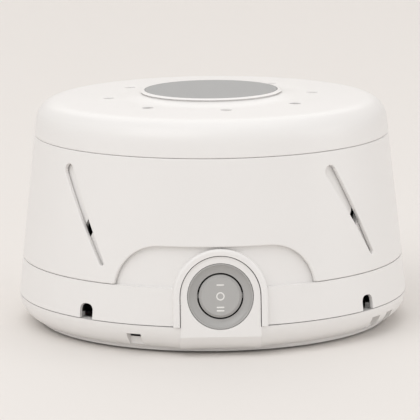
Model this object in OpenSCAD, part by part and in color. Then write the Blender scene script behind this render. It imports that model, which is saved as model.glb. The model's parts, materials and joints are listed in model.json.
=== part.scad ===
// Fan-driven white noise sound machine.
// A small motor turns a fan wheel inside a fixed, slotted drum. A slotted collar and a cap with
// holes turn round the drum and open or close its slots, which changes the tone of the air noise.
// Millimetres, +Z up. z = 0 is the table, the Z axis is the fan's axis and the switch faces -Y.
// Angles round the body are counted from the switch, positive towards +X.

/* [Outline] */
// Widest diameter, where the base pan meets the fixed band
body_d = 146; // [144:1:150]
// How far the side wall leans in for each millimetre of height
lean = 0.11; // [0.1:0.005:0.12]
// Height of the base pan's rim above the table
pan_top = 11.2; // [11:0.1:11.8]
// Height of the fixed band between the pan and the collar
band_h = 13.7; // [13.4:0.1:14.4]
// Height of the turning collar
collar_h = 46; // [45:0.5:50]
// Rise of the cap's crown above the collar
cap_rise = 13.95; // [13.6:0.05:14.5]
// Radius of the cap's shallow dome
dome_r = 1500; // [1300:50:1600]
// Radius of the cap's rounded shoulder
shoulder_r = 8.3; // [7.8:0.1:8.8]

/* [Walls and gaps] */
// Wall of the collar and the cap
shell_wall = 1.5; // [1.4:0.1:1.8]
// Wall of the base pan and the fixed band
base_wall = 2.4; // [2.1:0.1:2.6]
// Wall of the inner drum
drum_wall = 2; // [1.6:0.1:2.2]
// Gap between the drum and the shells that turn round it
turn_gap = 0.4; // [0.3:0.05:0.5]
// Gap at the seams between the shells
seam_gap = 0.3; // [0.2:0.05:0.4]
// Clearance of a fixed piece in its seat
fit_gap = 0.2; // [0.1:0.05:0.3]
// Radial running clearance of a shaft, pin or hub
run_gap = 0.05; // [0.02:0.01:0.08]

/* [Base pan] */
// Radius of the curve under the pan's rim
pan_curve_r = 9.5; // [9:0.1:10]
// Height of the pan's underside above the table
ground_gap = 0.8; // [0.6:0.1:1]
// Thickness of the pan's floor
floor_t = 2.6; // [2.2:0.1:3]
// Radius of the foot ring that the pan ends in
foot_ring_r = 65.4; // [64:0.2:66.4]
// Height of that foot ring
foot_ring_h = 1.8; // [1.6:0.1:2]
// Rise of the locating lip above the pan's rim
lip_rise = 1.6; // [1.2:0.1:2]
// Thickness of the locating lip
lip_t = 1.8; // [1.4:0.1:2.2]
// Width of the pockets in the pan's curve
pocket_w = 5.6; // [5:0.1:6.2]
// Depth of the pockets in the pan's curve
pocket_d = 1.3; // [1:0.1:1.5]

/* [Feet and base screws] */
// Diameter of a rubber foot
foot_d = 11; // [9:0.5:13]
// Depth of a foot's socket in the floor
foot_socket = 1.2; // [1:0.1:1.4]
// Distance of the feet from the axis
foot_ring = 50; // [46:1:53]
// Distance of the base screws from the axis
base_screw_ring = 57; // [55:0.5:58]
// Turn of the front and rear base screws from the middle plane
base_screw_turn = 25; // [22:1:27]
// Diameter of the screws' shanks
screw_d = 3; // [2.5:0.1:3.4]
// Diameter of the screws' heads
screw_head_d = 6; // [5.4:0.1:6.4]
// Height of the screws' heads
screw_head_h = 2; // [1.8:0.1:2.4]

/* [Band and drum] */
// Width of an air inlet under the band
vent_w = 6; // [5:0.2:7]
// Height of an air inlet under the band
vent_h = 5.7; // [5:0.1:6.5]
// Radius of an air inlet's upper corners
vent_corner_r = 2.2; // [1.5:0.1:2.4]
// Skin that is left round each air inlet
vent_skin = 1.25; // [1:0.05:1.5]
// Turn of the air inlets past the diagonals
vent_turn = 3.75; // [2:0.25:5]
// Turn of the drum's slots past the diagonals
drum_turn = 3.5; // [2:0.5:5]
// Length of a drum slot
drum_slot_l = 34; // [28:1:36]
// Width of a drum slot
drum_slot_w = 4.4; // [3.6:0.2:5]
// Slant of a drum slot off the vertical
drum_slot_slant = 28; // [22:1:32]
// Height of a drum slot's middle above the band
drum_slot_z = 22.5; // [21:0.5:24]
// Width of an arc slot in the drum's top
top_slot_w = 5.4; // [5:0.2:6]
// Half the angle that an arc slot spans
top_slot_half = 12; // [10:1:13]

/* [Collar] */
// Turn of the collar at rest, counted from the switch
collar_rest = -1.5; // [-4:0.1:4]
// Turn of the collar's slots past the diagonals
slot_turn = 2.1; // [0:0.1:4]
// Radius of a slot's round head
slot_head_r = 2.35; // [2:0.05:2.6]
// Radius of a slot's narrow tail
slot_tail_r = 0.9; // [0.7:0.05:1.2]
// Height of the head's middle above the collar's foot
slot_head_z = 38.5; // [37:0.5:40]
// Height of the tail's middle above the collar's foot
slot_tail_z = 7; // [6:0.5:9]
// Sideways run of a slot from head to tail
slot_run = 19; // [16:0.5:21]
// Height of the switch window above the collar's foot
window_h = 14.7; // [14.5:0.1:16]
// Radius of the window's upper corners
window_corner_r = 17.5; // [16:0.5:18]
// Half the angle between the middles of those corners
window_half = 16.5; // [16:0.1:18]

/* [Switch tower] */
// Height of the switch above the table
switch_z = 22.1; // [21.8:0.1:22.2]
// Radius of the arch round the switch panel
arch_r = 17; // [16.6:0.1:17]
// Width of the arch's rim
rim_w = 2.4; // [2.2:0.1:2.8]
// How far the rim stands out of the wall
rim_proud = 0.6; // [0.4:0.1:0.9]
// Radius of the rim's outer edge round
rim_round = 1.1; // [0.8:0.1:1.3]
// Thickness of the switch panel
panel_t = 2.6; // [2.4:0.1:3]
// Height where the flat of the panel turns into the pan's curve
flat_foot_z = 7.7; // [7:0.1:8]

/* [Switch] */
// Radius of the bezel's dish at the panel's face
dish_r = 11.7; // [11.2:0.1:12]
// Depth of the dish
dish_depth = 2; // [1.7:0.1:2.2]
// Radius of the rocker's bore
rocker_bore_r = 8.3; // [8.2:0.05:8.6]
// Radius of the rocker
rocker_r = 7.7; // [7.5:0.05:7.8]
// Depth of the rocker's face below the panel's face
rocker_face_depth = 0.7; // [0.5:0.1:1]
// Width of the rocker's bevel
rocker_bevel = 0.9; // [0.7:0.1:1.2]
// Depth of the rocker's pivot below the panel's face
pivot_depth = 4.2; // [4:0.1:4.4]
// Diameter of the pivot pins
pivot_d = 2.2; // [1.8:0.1:2.3]
// Radius of the switch's barrel
barrel_r = 10.6; // [10.3:0.1:11]
// Depth of the barrel's rear end below the panel's face
barrel_depth = 17; // [16:0.5:18]
// Spacing of the blade terminals
blade_pitch = 6; // [5.5:0.1:6.2]
// Length of a blade behind the barrel
blade_l = 7.5; // [6.5:0.5:8]

/* [Cap] */
// Turn of the cap at rest, counted from the switch
cap_rest = 6; // [0:0.5:12]
// Number of holes in the cap
cap_holes = 8; // [8]
// Diameter of those holes
cap_hole_d = 4.2; // [3.6:0.1:4.6]
// Distance of those holes from the axis
cap_hole_ring = 38.6; // [37:0.2:41]
// Skin that is left round each hole
cap_hole_skin = 1; // [0.8:0.1:1.3]
// Radius of the emblem disc
emblem_r = 24.8; // [23:0.2:26]
// Thickness of the emblem disc
emblem_t = 1; // [0.8:0.1:1.2]
// Rise of the flared pad that lifts the emblem out of the dome
pad_rise = 1.25; // [1:0.05:1.5]
// Width of the pad's flare
pad_w = 9.5; // [8:0.5:10]
// Width of the emblem's ring, bevel included
ring_w = 1.5; // [1.3:0.1:1.8]
// Height of the shadow gap under the ring's bevel
ring_gap = 0.45; // [0.3:0.05:0.6]
// Depth of the ring's seat in the pad
ring_seat = 0.5; // [0.3:0.1:0.7]
// Radius of the post that the cap turns on
post_r = 5; // [4.5:0.1:5.4]
// Length of the cap's hub on the post
hub_l = 6.4; // [5.5:0.1:7]
// Wall of the cap's hub
hub_wall = 3; // [2.6:0.1:3.4]
// Half the angle that the cap's stop key can travel
key_travel = 22; // [18:1:24]

/* [Motor] */
// Height of the motor plate's underside above the pan's floor
plate_rise = 5.6; // [5:0.1:6]
// Thickness of the motor plate
plate_t = 1.5; // [1.2:0.1:2]
// Radius of the motor plate
plate_r = 36; // [34:0.5:38]
// Distance of the rubber grommets from the axis
grommet_ring = 30; // [29:0.5:31]
// Height of the lamination stack's underside above the motor plate
stack_rise = 9.5; // [9:0.1:10.5]
// Thickness of the lamination stack
stack_t = 14; // [12:0.5:15]
// Width of the stack
stack_w = 46; // [44:1:48]
// Reach of the stack in front of the shaft
stack_front = 20; // [19:0.5:21]
// Depth of the limb that carries the coil
limb_d = 10; // [9:0.5:11]
// Distance from the shaft to the coil limb
limb_y = 30; // [29:0.5:32]
// Radius of the rotor
rotor_r = 12.6; // [12:0.1:13]
// Air gap between rotor and stack
air_gap = 0.4; // [0.3:0.05:0.5]
// Width of the stack's coil window
coil_window_w = 26; // [25:0.5:27]
// Thickness of the coil's winding
winding_t = 6; // [5:0.2:6.4]
// Diameter of the motor shaft
shaft_d = 5; // [4.6:0.1:5.2]
// Distance of the through screws from the shaft
bracket_screw_x = 18.5; // [18:0.1:19]
// Width of the bearing brackets
bracket_w = 13; // [12:0.5:13.5]
// Gap between the stack and a bearing bracket's bridge
bridge_gap = 5; // [4.5:0.1:6]

/* [Fan] */
// Radius of the fan wheel
fan_r = 50; // [44:1:52]
// Height of the blades
blade_h = 15; // [10:0.5:16]
// Number of blades
fan_blades = 9; // [7:1:11]
// Thickness of a blade
blade_t = 1.6; // [1.2:0.1:2]
// Radius where the blades begin
blade_root_r = 28; // [22:1:30]
// Uneven spacing of the blades, which keeps the fan from humming one note
blade_stagger = 5; // [0:1:6]

/* [Cord outlet] */
// Height of the outlet's middle above the table
gland_z = 17.7; // [17.5:0.1:17.8]
// Radius of the bore for the mains cord
gland_bore_r = 3.2; // [2.8:0.1:3.4]
// Radius of the gland's flange
gland_flange_r = 5.8; // [5.6:0.1:6]
// Thickness of the gland's flange
gland_flange_t = 1.3; // [1:0.1:1.5]

/* [Hidden] */
$fn = 96;

white = [0.93, 0.92, 0.91];
steel = [0.62, 0.63, 0.65];
copper = [0.72, 0.42, 0.22];
big = 400;
hair = 0.02;
// Sides of the dome's large circle, of which the cap uses a short arc
dome_sides = 1440;
lean_a = atan(lean);

band_top = pan_top + band_h;
collar_top = band_top + collar_h;
crown_z = collar_top + cap_rise;
half_seam = seam_gap / 2;
drum_out = shell_wall + turn_gap;
drum_in = drum_out + drum_wall;
shelf_z = band_top - base_wall;
floor_z = ground_gap + floor_t;
// Turns of the four diagonals round the body
diagonals = [45, 135, 225, 315];

// Radius of the leaning side wall at height z, moved in by w square to the wall
function wall_r(z, w = 0) = body_d / 2 - lean * (z - pan_top) - w / cos(lean_a);

// Middle of the shoulder's arc: tangent to the leaning wall and to the dome
dome_z = crown_z - dome_r;
wall_foot = wall_r(0, shoulder_r);
dome_reach = dome_r - shoulder_r;
shoulder_b = wall_foot * lean + dome_z;
shoulder_c = wall_foot * wall_foot + dome_z * dome_z - dome_reach * dome_reach;
shoulder_z = (shoulder_b + sqrt(shoulder_b * shoulder_b - (1 + lean * lean) * shoulder_c))
    / (1 + lean * lean);
shoulder_x = wall_r(shoulder_z, shoulder_r);
// Direction from the dome's centre to the shoulder's middle
shoulder_a = atan2(shoulder_z - dome_z, shoulder_x);
function dome_at(r) = dome_z + sqrt(dome_r * dome_r - r * r);

// The emblem's pad and ring, and below them the washer, the post's top and the hub
ring_in_r = emblem_r + fit_gap;
ring_r = ring_in_r + ring_w;
ring_neck_r = ring_r - 0.6;
pad_foot_r = ring_r + pad_w;
pad_z = dome_at(pad_foot_r) + pad_rise;
emblem_top_z = pad_z + emblem_t;
washer_t = 0.8;
washer_seat_r = 7.2;
post_top_z = pad_z - washer_t - screw_head_h - 0.3;
hub_top_z = post_top_z - seam_gap;
hub_foot_z = hub_top_z - hub_l;

// Half outline of the whole body from the table up, moved in by w
module outline2d(w) {
    mid = [shoulder_x, shoulder_z];
    round_r = shoulder_r - w;
    on_wall = mid + round_r * [cos(lean_a), sin(lean_a)];
    past_dome = mid + (round_r + 2 * shoulder_r) * [cos(shoulder_a), sin(shoulder_a)];
    polygon([[0, 0], [wall_r(0, w), 0], on_wall, mid, [0, shoulder_z]]);
    translate(mid) circle(round_r);
    intersection() {
        translate([0, dome_z]) circle(dome_r - w, $fn = dome_sides);
        polygon([[0, shoulder_z - 1], [shoulder_x, shoulder_z - 1], mid, past_dome,
            [0, past_dome[1]]]);
    }
}

// Strip of the half plane between two heights
module between2d(z_lo, z_hi) translate([0, z_lo]) square([body_d, z_hi - z_lo]);

// Shell between two offsets of the outline, from z_lo to z_hi
module shell(w_out, w_in, z_lo, z_hi)
    rotate_extrude() intersection() {
        difference() {
            outline2d(w_out);
            outline2d(w_in);
        }
        between2d(z_lo, z_hi);
    }

// Children are drawn in the plane of the wall at angle a (x sideways, y up) and pushed
// through the wall from radius r_in to r_out
module through_wall(a, r_in, r_out)
    rotate([0, 0, a]) translate([0, -r_in, 0]) rotate([90, 0, 0])
        linear_extrude(r_out - r_in) children();

// Strip with round ends of different size, between points p and q. Its sides run a hair inside
// the round ends, so that no edge only touches a circle
module tapered_slot2d(p, r_p, q, r_q) {
    d = q - p;
    turn = atan2(d[1], d[0]);
    open = acos((r_p - r_q) / norm(d));
    left = [cos(turn + open), sin(turn + open)];
    right = [cos(turn - open), sin(turn - open)];
    translate(p) circle(r_p);
    translate(q) circle(r_q);
    polygon([
        p + (r_p - hair) * left, p + (r_p - hair) * right,
        q + (r_q - hair) * right, q + (r_q - hair) * left
    ]);
}

module ring2d(r_out, r_in) difference() {
    circle(r_out);
    circle(r_in);
}

module tube(h, r_out, r_in) linear_extrude(h) ring2d(r_out, r_in);

// Copies at the four diagonals, turned on by a
module on_diagonals(a = 0) for (d = diagonals) rotate([0, 0, d + a]) children();

// Frame on the wall at angle a and height z: origin on its face, +Z out of it, +Y up along it
module wall_frame(a, z) rotate([0, 0, a])
    translate([0, -wall_r(z), z]) rotate([90 - lean_a, 0, 0]) children();

// Frame of the switch, in the middle of its panel
module switch_frame() wall_frame(0, switch_z) children();

// Arch with legs that run down by l
module arch2d(r, l) {
    circle(r);
    translate([-r, -l]) square([2 * r, l]);
}

// Places of the base screws
module at_base_screws()
    for (a = [base_screw_turn, 180 - base_screw_turn, 180 + base_screw_turn, -base_screw_turn])
        rotate([0, 0, a]) translate([0, -base_screw_ring, 0]) children();

// ---------------------------------------------------------------- base pan

leg_l = (switch_z - pan_top - half_seam) / cos(lean_a);
pan_mid_r = body_d / 2 - pan_curve_r;
lip_r = wall_r(pan_top + lip_rise, base_wall) - fit_gap;
pan_boss_r = screw_head_d / 2 + 1.6;
pan_boss_top = pan_top + 2;
head_seat_z = 8;
pocket_turns = [-25.5, 54, 62.5];
panel_half = arch_r - rim_w - seam_gap;
// Half width of the pan's front flat, and how far its curve is moved out to end at the panel's foot
front_half = panel_half + 0.2;
front_push = wall_r(flat_foot_z) - pan_mid_r
    - sqrt(pow(pan_curve_r, 2) - pow(pan_top - flat_foot_z, 2));
// Half the angle of the front flat and of the two that lead from it into the round
facet_half = 11.25;
// How far the flats lie inside the faces that they run into
flat_sink = 0.02;
pocket_foot_z = ground_gap + foot_ring_h + 0.6;

// Half section of the pan's curve, moved out by push
module pan_curve2d(push) intersection() {
    translate([pan_mid_r + push, pan_top]) circle(pan_curve_r);
    between2d(ground_gap + foot_ring_h, pan_top);
}

// Half section of the room inside the pan
module pan_cavity2d() {
    intersection() {
        translate([pan_mid_r, pan_top]) circle(pan_curve_r - base_wall);
        between2d(0, pan_top);
    }
    disc2d(pan_mid_r, pan_top - pan_curve_r + base_wall, pan_top);
    disc2d(pan_mid_r - 2, floor_z, pan_top);
}

// Half section of the pan without its room: foot ring, curve and floor
module pan_section2d() {
    pan_curve2d(0);
    disc2d(pan_mid_r, ground_gap + foot_ring_h, pan_top);
    disc2d(foot_ring_r, ground_gap, ground_gap + foot_ring_h + 0.1);
}

// Strip from the axis out to radius r
module disc2d(r, z_lo, z_hi) translate([0, z_lo]) square([r, z_hi - z_lo]);

// Switch panel, a tongue that stands up from the pan
module switch_panel()
    above(flat_foot_z) switch_frame() translate([0, 0, -panel_t]) linear_extrude(panel_t)
        arch2d(panel_half, leg_l + 8);

// Children (half section of the pan) drawn straight along the tangent at angle a, from x_lo to x_hi
module straight_pan(a, x_lo, x_hi)
    rotate([0, 0, a - 90]) translate([0, x_hi, 0]) rotate([90, 0, 0])
        linear_extrude(x_hi - x_lo) children();

// Flats in the round of the pan, below the panel and beside it
module pan_flats() {
    straight_pan(0, -front_half, front_half) intersection() {
        pan_curve2d(front_push);
        polygon([[0, 0], [wall_r(0, flat_sink), 0], [wall_r(pan_top, flat_sink), pan_top], [0, pan_top]]);
    }
    straight_pan(2 * facet_half, -body_d / 2 * tan(facet_half), 0) pan_curve2d(-flat_sink);
    straight_pan(-2 * facet_half, 0, body_d / 2 * tan(facet_half)) pan_curve2d(-flat_sink);
}

// Shell of the pan, cut level at the seam
module pan_shell() difference() {
    intersection() {
        union() {
            rotate_extrude() pan_section2d();
            pan_flats();
        }
        cylinder_from(0, pan_top - half_seam, big);
    }
    rotate_extrude() pan_cavity2d();
}

// Children without what lies below height z
module above(z) intersection() {
    children();
    cylinder_from(z, big, big);
}

module base_pan() color(white) difference() {
    union() {
        pan_shell();
        // locating lip inside the band
        translate([0, 0, pan_top - pan_curve_r / 2])
            tube(lip_rise + pan_curve_r / 2, lip_r, lip_r - lip_t);
        switch_panel();
        // towers for the base screws
        at_base_screws() cylinder_from(floor_z - 1, pan_boss_top, pan_boss_r);
        // posts for the motor's grommets
        on_diagonals() translate([0, -grommet_ring, 0]) {
            cylinder_from(floor_z - 1, floor_z + plate_rise - grommet_seat, grommet_flange_r - 1);
            cylinder_from(floor_z - 1, grommet_top_z - fit_gap, grommet_post_r);
        }
        // ribs that stiffen the floor
        for (a = [0:30:330]) rotate([0, 0, a + 15]) translate([plate_r + 2, -0.8, floor_z - 0.5])
            cube([pan_mid_r - plate_r - 6, 1.6, 2.5]);
        // sockets for the feet
        on_diagonals() translate([0, -foot_ring, 0])
            cylinder_from(floor_z - 1, floor_z + 1.2, foot_d / 2 + 1.6);
    }
    // bore for the switch
    switch_frame() translate([0, 0, -2 * panel_t]) cylinder(h = big, r = dish_r + fit_gap);
    clear_behind_panel();
    gland_frame() cylinder(h = 2 * gland_l, r = gland_neck_r + 1.3, center = true);
    // the lip makes way for the air inlets
    for (d = diagonals) through_wall(d + vent_turn, body_d / 3, lip_r + fit_gap)
        translate([-vent_w / 2 - vent_rim, pan_top - half_seam]) square([vent_w + 2 * vent_rim, big]);
    at_base_screws() {
        cylinder_from(-1, head_seat_z, screw_head_d / 2 + fit_gap);
        cylinder_from(-1, big, screw_d / 2 + fit_gap);
    }
    on_diagonals() translate([0, -foot_ring, 0])
        cylinder_from(-1, ground_gap + foot_socket, foot_d / 2 + fit_gap);
    on_diagonals() translate([0, -grommet_ring, 0])
        cylinder_from(floor_z + 1, big, screw_d / 2 + run_gap);
    // moulded pockets in the curve
    for (a = pocket_turns) rotate([0, 0, a])
        translate([-pocket_w / 2, -big - pocket_floor_r, pocket_foot_z])
            cube([pocket_w, big, flat_foot_z - pocket_foot_z]);
}

pocket_floor_r = pan_mid_r + sqrt(pow(pan_curve_r, 2) - pow(pan_top - pocket_foot_z, 2)) - 0.4;

module cylinder_from(z_lo, z_hi, r) translate([0, 0, z_lo]) cylinder(h = z_hi - z_lo, r = r);

// Room behind the panel for the switch's flange, where the lip would be in its way
module clear_behind_panel() switch_frame() translate([0, 0, -panel_t - 8])
    linear_extrude(8) intersection() {
        circle(switch_flange_r + fit_gap);
        translate([-big / 2, -arch_r]) square([big, big]);
    }

module rubber_feet() color([0.2, 0.2, 0.2]) on_diagonals() translate([0, -foot_ring, 0]) {
    cylinder(h = 0.5, r1 = foot_d / 2 - 0.5, r2 = foot_d / 2);
    cylinder_from(0.5, ground_gap + foot_socket, foot_d / 2);
}

// Pan-head screw with its seat at z = 0 and its shank up to l
module screw(l) {
    cylinder(h = l, r = screw_d / 2);
    difference() {
        cylinder_from(-screw_head_h, 0, screw_head_d / 2);
        for (a = [0, 90]) rotate([0, 0, a]) translate([0, 0, -screw_head_h])
            cube([screw_head_d * 0.6, 0.8, screw_head_h], center = true);
    }
}

module base_screws() color(steel) at_base_screws()
    translate([0, 0, head_seat_z]) screw(housing_boss_z + base_screw_bite - head_seat_z);

// ---------------------------------------------------------------- inner housing

housing_boss_z = pan_boss_top;
// Length of a base screw's thread in its boss
base_screw_bite = 9;
housing_boss_r = 4;
housing_boss_top = housing_boss_z + 22;
well_floor_z = hub_foot_z - seam_gap;
well_r = post_r + run_gap + hub_wall + 0.6;
key_r = post_r + run_gap + hub_wall;

// Half section of band, shelf, drum and drum top
module housing_outer2d() {
    intersection() {
        outline2d(0);
        between2d(pan_top + half_seam, band_top - half_seam);
    }
    intersection() {
        outline2d(drum_out);
        between2d(shelf_z, crown_z);
    }
}

module housing_cavity2d() {
    intersection() {
        outline2d(base_wall);
        between2d(0, shelf_z);
    }
    intersection() {
        outline2d(drum_in);
        between2d(shelf_z - 1, crown_z);
    }
}

// Cross-section of the arch's rim: x outwards from the arch's middle, y out of the panel
module rim2d() {
    r_in = arch_r - rim_w;
    translate([r_in, -14]) square([rim_w, 14 + rim_proud - rim_round]);
    translate([r_in, 0]) square([rim_w - rim_round, rim_proud]);
    intersection() {
        translate([arch_r - rim_round, rim_proud - rim_round]) circle(rim_round);
        translate([r_in, -14]) square([rim_w, 30]);
    }
}

module arch_rim() switch_frame() {
    rotate_extrude(angle = 180) rim2d();
    for (side = [0, 1]) mirror([side, 0, 0])
        rotate([90, 0, 0]) linear_extrude(leg_l + 4) rim2d();
}

module drum_slots() for (d = diagonals)
    through_wall(d + drum_turn, body_d / 3, body_d)
        translate([0, band_top + drum_slot_z]) rotate(-drum_slot_slant)
            tapered_slot2d([0, -drum_slot_l / 2], drum_slot_w / 2,
                [0, drum_slot_l / 2], drum_slot_w / 2);

// Outline of an air inlet with its upper corners rounded, grown by w at the sides and the top
module vent2d(w) {
    half = vent_w / 2 + w;
    corner = vent_corner_r + w;
    top = vent_h + w;
    translate([-half, -vent_h]) square([2 * half, vent_h + top - corner]);
    translate([corner - half, 0]) square([2 * (half - corner), top]);
    for (side = [-1, 1]) translate([side * (half - corner), top - corner]) circle(corner - hair);
}

// Width of the thinned rim round an air inlet
vent_rim = 1.5;

// Air inlets, and the hollows behind them that leave only a skin
module vents() for (d = diagonals) wall_frame(d + vent_turn, pan_top) {
    translate([0, 0, -body_d / 6]) linear_extrude(body_d / 3) vent2d(0);
    translate([0, 0, -body_d / 6]) linear_extrude(body_d / 6 - vent_skin) vent2d(vent_rim);
}

// Turns of the arc slots in the drum's top. The rear pair stands off the diagonals, so that the cap
// opens its holes in turn
top_slot_turns = [-45, 45, 157.5, 202.5];

module top_slots() translate([0, 0, shoulder_z]) linear_extrude(big) for (a = top_slot_turns)
    rotate(a + drum_turn) arc_slot2d(cap_hole_ring, top_slot_w, top_slot_half);

// Arc slot of width w round the axis at radius r, centred on -Y and reaching half_a to each side
module arc_slot2d(r, w, half_a) {
    far = (r + w) / cos(half_a);
    intersection() {
        ring2d(r + w / 2, r - w / 2);
        polygon([[0, 0], far * [-sin(half_a), -cos(half_a)], far * [sin(half_a), -cos(half_a)]]);
    }
    for (a = [-half_a, half_a]) rotate(a) translate([0, -r]) circle(w / 2 - hair);
}

module inner_housing() color(white) difference() {
    union() {
        difference() {
            union() {
                rotate_extrude() housing_outer2d();
                intersection() {
                    arch_rim();
                    cylinder_from(pan_top + half_seam, crown_z, body_d);
                }
            }
            rotate_extrude() housing_cavity2d();
        }
        // bosses for the base screws, on webs that reach the wall
        at_base_screws() cylinder_from(housing_boss_z, housing_boss_top, housing_boss_r);
        at_base_screws() translate([-1, -(wall_r(housing_boss_top, drum_in) - base_screw_ring) - 1, 0])
            translate([0, 0, shelf_z]) cube([2, wall_r(housing_boss_top, drum_in) - base_screw_ring,
                housing_boss_top - shelf_z]);
        // well and post for the cap's hub
        cylinder_from(well_floor_z - drum_wall, dome_at(0) - drum_out - 0.5, well_r + drum_wall);
    }
    difference() {
        cylinder_from(well_floor_z, big, well_r);
        cylinder_from(well_floor_z - 1, post_top_z, post_r);
    }
    key_groove();
    cylinder_from(well_floor_z - drum_wall + 1, big, screw_d / 2 + run_gap);
    switch_frame() translate([0, 0, -20]) linear_extrude(big)
        arch2d(arch_r - rim_w, leg_l + 10);
    drum_slots();
    vents();
    top_slots();
    at_base_screws() cylinder_from(0, housing_boss_top - 2, screw_d / 2 + run_gap);
    gland_frame() cylinder(h = 2 * gland_l, r = gland_neck_r + fit_gap, center = true);
}

// Groove in the wall of the well, in which the cap's stop key travels
module key_groove() rotate([0, 0, 90 + cap_rest - key_travel - key_half - key_slack])
    rotate_extrude(angle = 2 * (key_travel + key_half + key_slack))
        translate([well_r - 0.5, well_floor_z]) square([0.5 + key_reach + seam_gap, big]);
key_reach = 0.9;
key_half = 6;
// Angle that the key still has at the end of its travel
key_slack = 2;

// ---------------------------------------------------------------- cord outlet

gland_neck_r = gland_flange_r - 1.6;
gland_snap = 0.5;
gland_l = base_wall + 2 * gland_flange_t + 4;

// Frame of the outlet: origin on the wall's outer face, +Z straight out of the wall
module gland_frame()
    translate([0, wall_r(gland_z), gland_z]) rotate([-90 + lean_a, 0, 0]) children();

module cord_gland() color([0.88, 0.88, 0.87]) gland_frame() difference() {
    union() {
        translate([0, 0, gland_seat]) cylinder(h = gland_flange_t, r = gland_flange_r);
        translate([0, 0, gland_seat + gland_flange_t - gland_l])
            cylinder(h = gland_l - 0.1, r = gland_neck_r);
        translate([0, 0, -base_wall - seam_gap - gland_flange_t])
            cylinder(h = gland_flange_t, r1 = gland_neck_r, r2 = gland_neck_r + gland_snap);
    }
    cylinder(h = big, r = gland_bore_r, center = true);
}
// The flange stands clear of the wall's curve
gland_seat = 0.3;

// ---------------------------------------------------------------- switch

switch_flange_r = arch_r - rim_w - 1;
flange_t = 1.4;
rocker_cavity_depth = 11.5;
blade_w = 4.8;
blade_thick = 0.8;
blade_socket = 1.8;

module switch_bezel() color([0.72, 0.72, 0.72]) switch_frame() rotate_extrude() difference() {
    translate([rocker_bore_r, -panel_t]) square([dish_r - rocker_bore_r, panel_t - 0.15]);
    // hollow of the dish, a shallow arc from the face down to the rocker
    dish_w = dish_r - 0.3 - rocker_bore_r;
    dish_arc = (dish_w * dish_w + dish_depth * dish_depth) / (2 * dish_depth);
    translate([rocker_bore_r, dish_arc - dish_depth]) circle(dish_arc);
}

module switch_body() color([0.12, 0.12, 0.13]) switch_frame() difference() {
    union() {
        translate([0, 0, -panel_t - flange_t]) cylinder(h = flange_t, r = switch_flange_r);
        translate([0, 0, -barrel_depth]) cylinder(h = barrel_depth - panel_t, r = barrel_r);
    }
    translate([0, 0, -rocker_cavity_depth]) cylinder(h = big, r = rocker_bore_r);
    translate([0, 0, -pivot_depth]) rotate([0, 90, 0])
        cylinder(h = 2 * (barrel_r - 0.6), r = pivot_d / 2 + run_gap, center = true);
    for (k = [-1:1]) translate([0, k * blade_pitch, -barrel_depth + blade_socket / 2])
        cube([blade_w + 2 * fit_gap, blade_thick + 2 * fit_gap, blade_socket + 0.02], center = true);
}

module switch_terminals() color([0.8, 0.78, 0.7]) switch_frame()
    for (k = [-1:1]) translate([-blade_w / 2, k * blade_pitch - blade_thick / 2,
            -barrel_depth - blade_l])
        cube([blade_w, blade_thick, blade_l + blade_socket - fit_gap]);

// Three-position rocker: a round button with a bevelled edge, a stem and two pivot pins
module rocker_button() color([0.7, 0.7, 0.7]) switch_frame() {
    skirt = pivot_depth + 1.2;
    rotate_extrude() polygon([
        [0, -skirt], [rocker_r - 0.8, -skirt], [rocker_r, -skirt + 0.8],
        [rocker_r, -rocker_face_depth - rocker_bevel],
        [rocker_r - rocker_bevel, -rocker_face_depth], [0, -rocker_face_depth]
    ]);
    translate([-2.5, -2, -rocker_cavity_depth + 2.2]) cube([5, 4, rocker_cavity_depth - pivot_depth]);
    translate([0, 0, -pivot_depth]) rotate([0, 90, 0])
        cylinder(h = 2 * (barrel_r - 0.9), r = pivot_d / 2, center = true);
}

// ---------------------------------------------------------------- collar

module collar_window() {
    rotate([0, 0, -90 - window_half]) rotate_extrude(angle = 2 * window_half)
        translate([body_d / 3, 0]) square([body_d / 2, band_top + window_h]);
    for (side = [-1, 1])
        through_wall(side * window_half, body_d / 3, body_d)
            translate([0, band_top + window_h - window_corner_r]) circle(window_corner_r);
}

module collar() color(white) rotate([0, 0, collar_rest]) difference() {
    shell(0, shell_wall, band_top + half_seam, collar_top - half_seam);
    collar_window();
    for (d = diagonals) through_wall(d + slot_turn, body_d / 3, body_d)
        tapered_slot2d([-slot_run / 2, band_top + slot_head_z], slot_head_r,
            [slot_run / 2, band_top + slot_tail_z], slot_tail_r);
}

// ---------------------------------------------------------------- cap

// Flared pad under the emblem, a cove that rises out of the dome
module pad2d() {
    arc = (pad_w * pad_w + pad_rise * pad_rise) / (2 * pad_rise);
    root_z = dome_at(pad_foot_r) - shell_wall / 2;
    difference() {
        translate([0, root_z]) square([pad_foot_r - hair, pad_z - root_z]);
        translate([pad_foot_r, dome_at(pad_foot_r) + arc - 0.1]) circle(arc);
    }
}

module cap_section2d() {
    difference() {
        union() {
            difference() {
                union() {
                    intersection() {
                        difference() {
                            outline2d(0);
                            outline2d(shell_wall);
                        }
                        between2d(collar_top + half_seam, crown_z + 1);
                    }
                    pad2d();
                }
                // hollow under the pad, which keeps the wall even
                translate([0, crown_z - shell_wall - 1])
                    square([emblem_r - 1, pad_z - crown_z + 1]);
            }
            translate([0, hub_foot_z]) square([key_r, pad_z - hub_foot_z]);
        }
        // seat of the emblem's ring
        translate([ring_in_r - 0.1, pad_z - ring_seat])
            square([ring_neck_r - ring_in_r + 0.2, big]);
        translate([0, hub_top_z]) square([washer_seat_r, big]);
        translate([0, hub_foot_z - 1]) square([post_r + run_gap, big]);
    }
}

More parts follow.
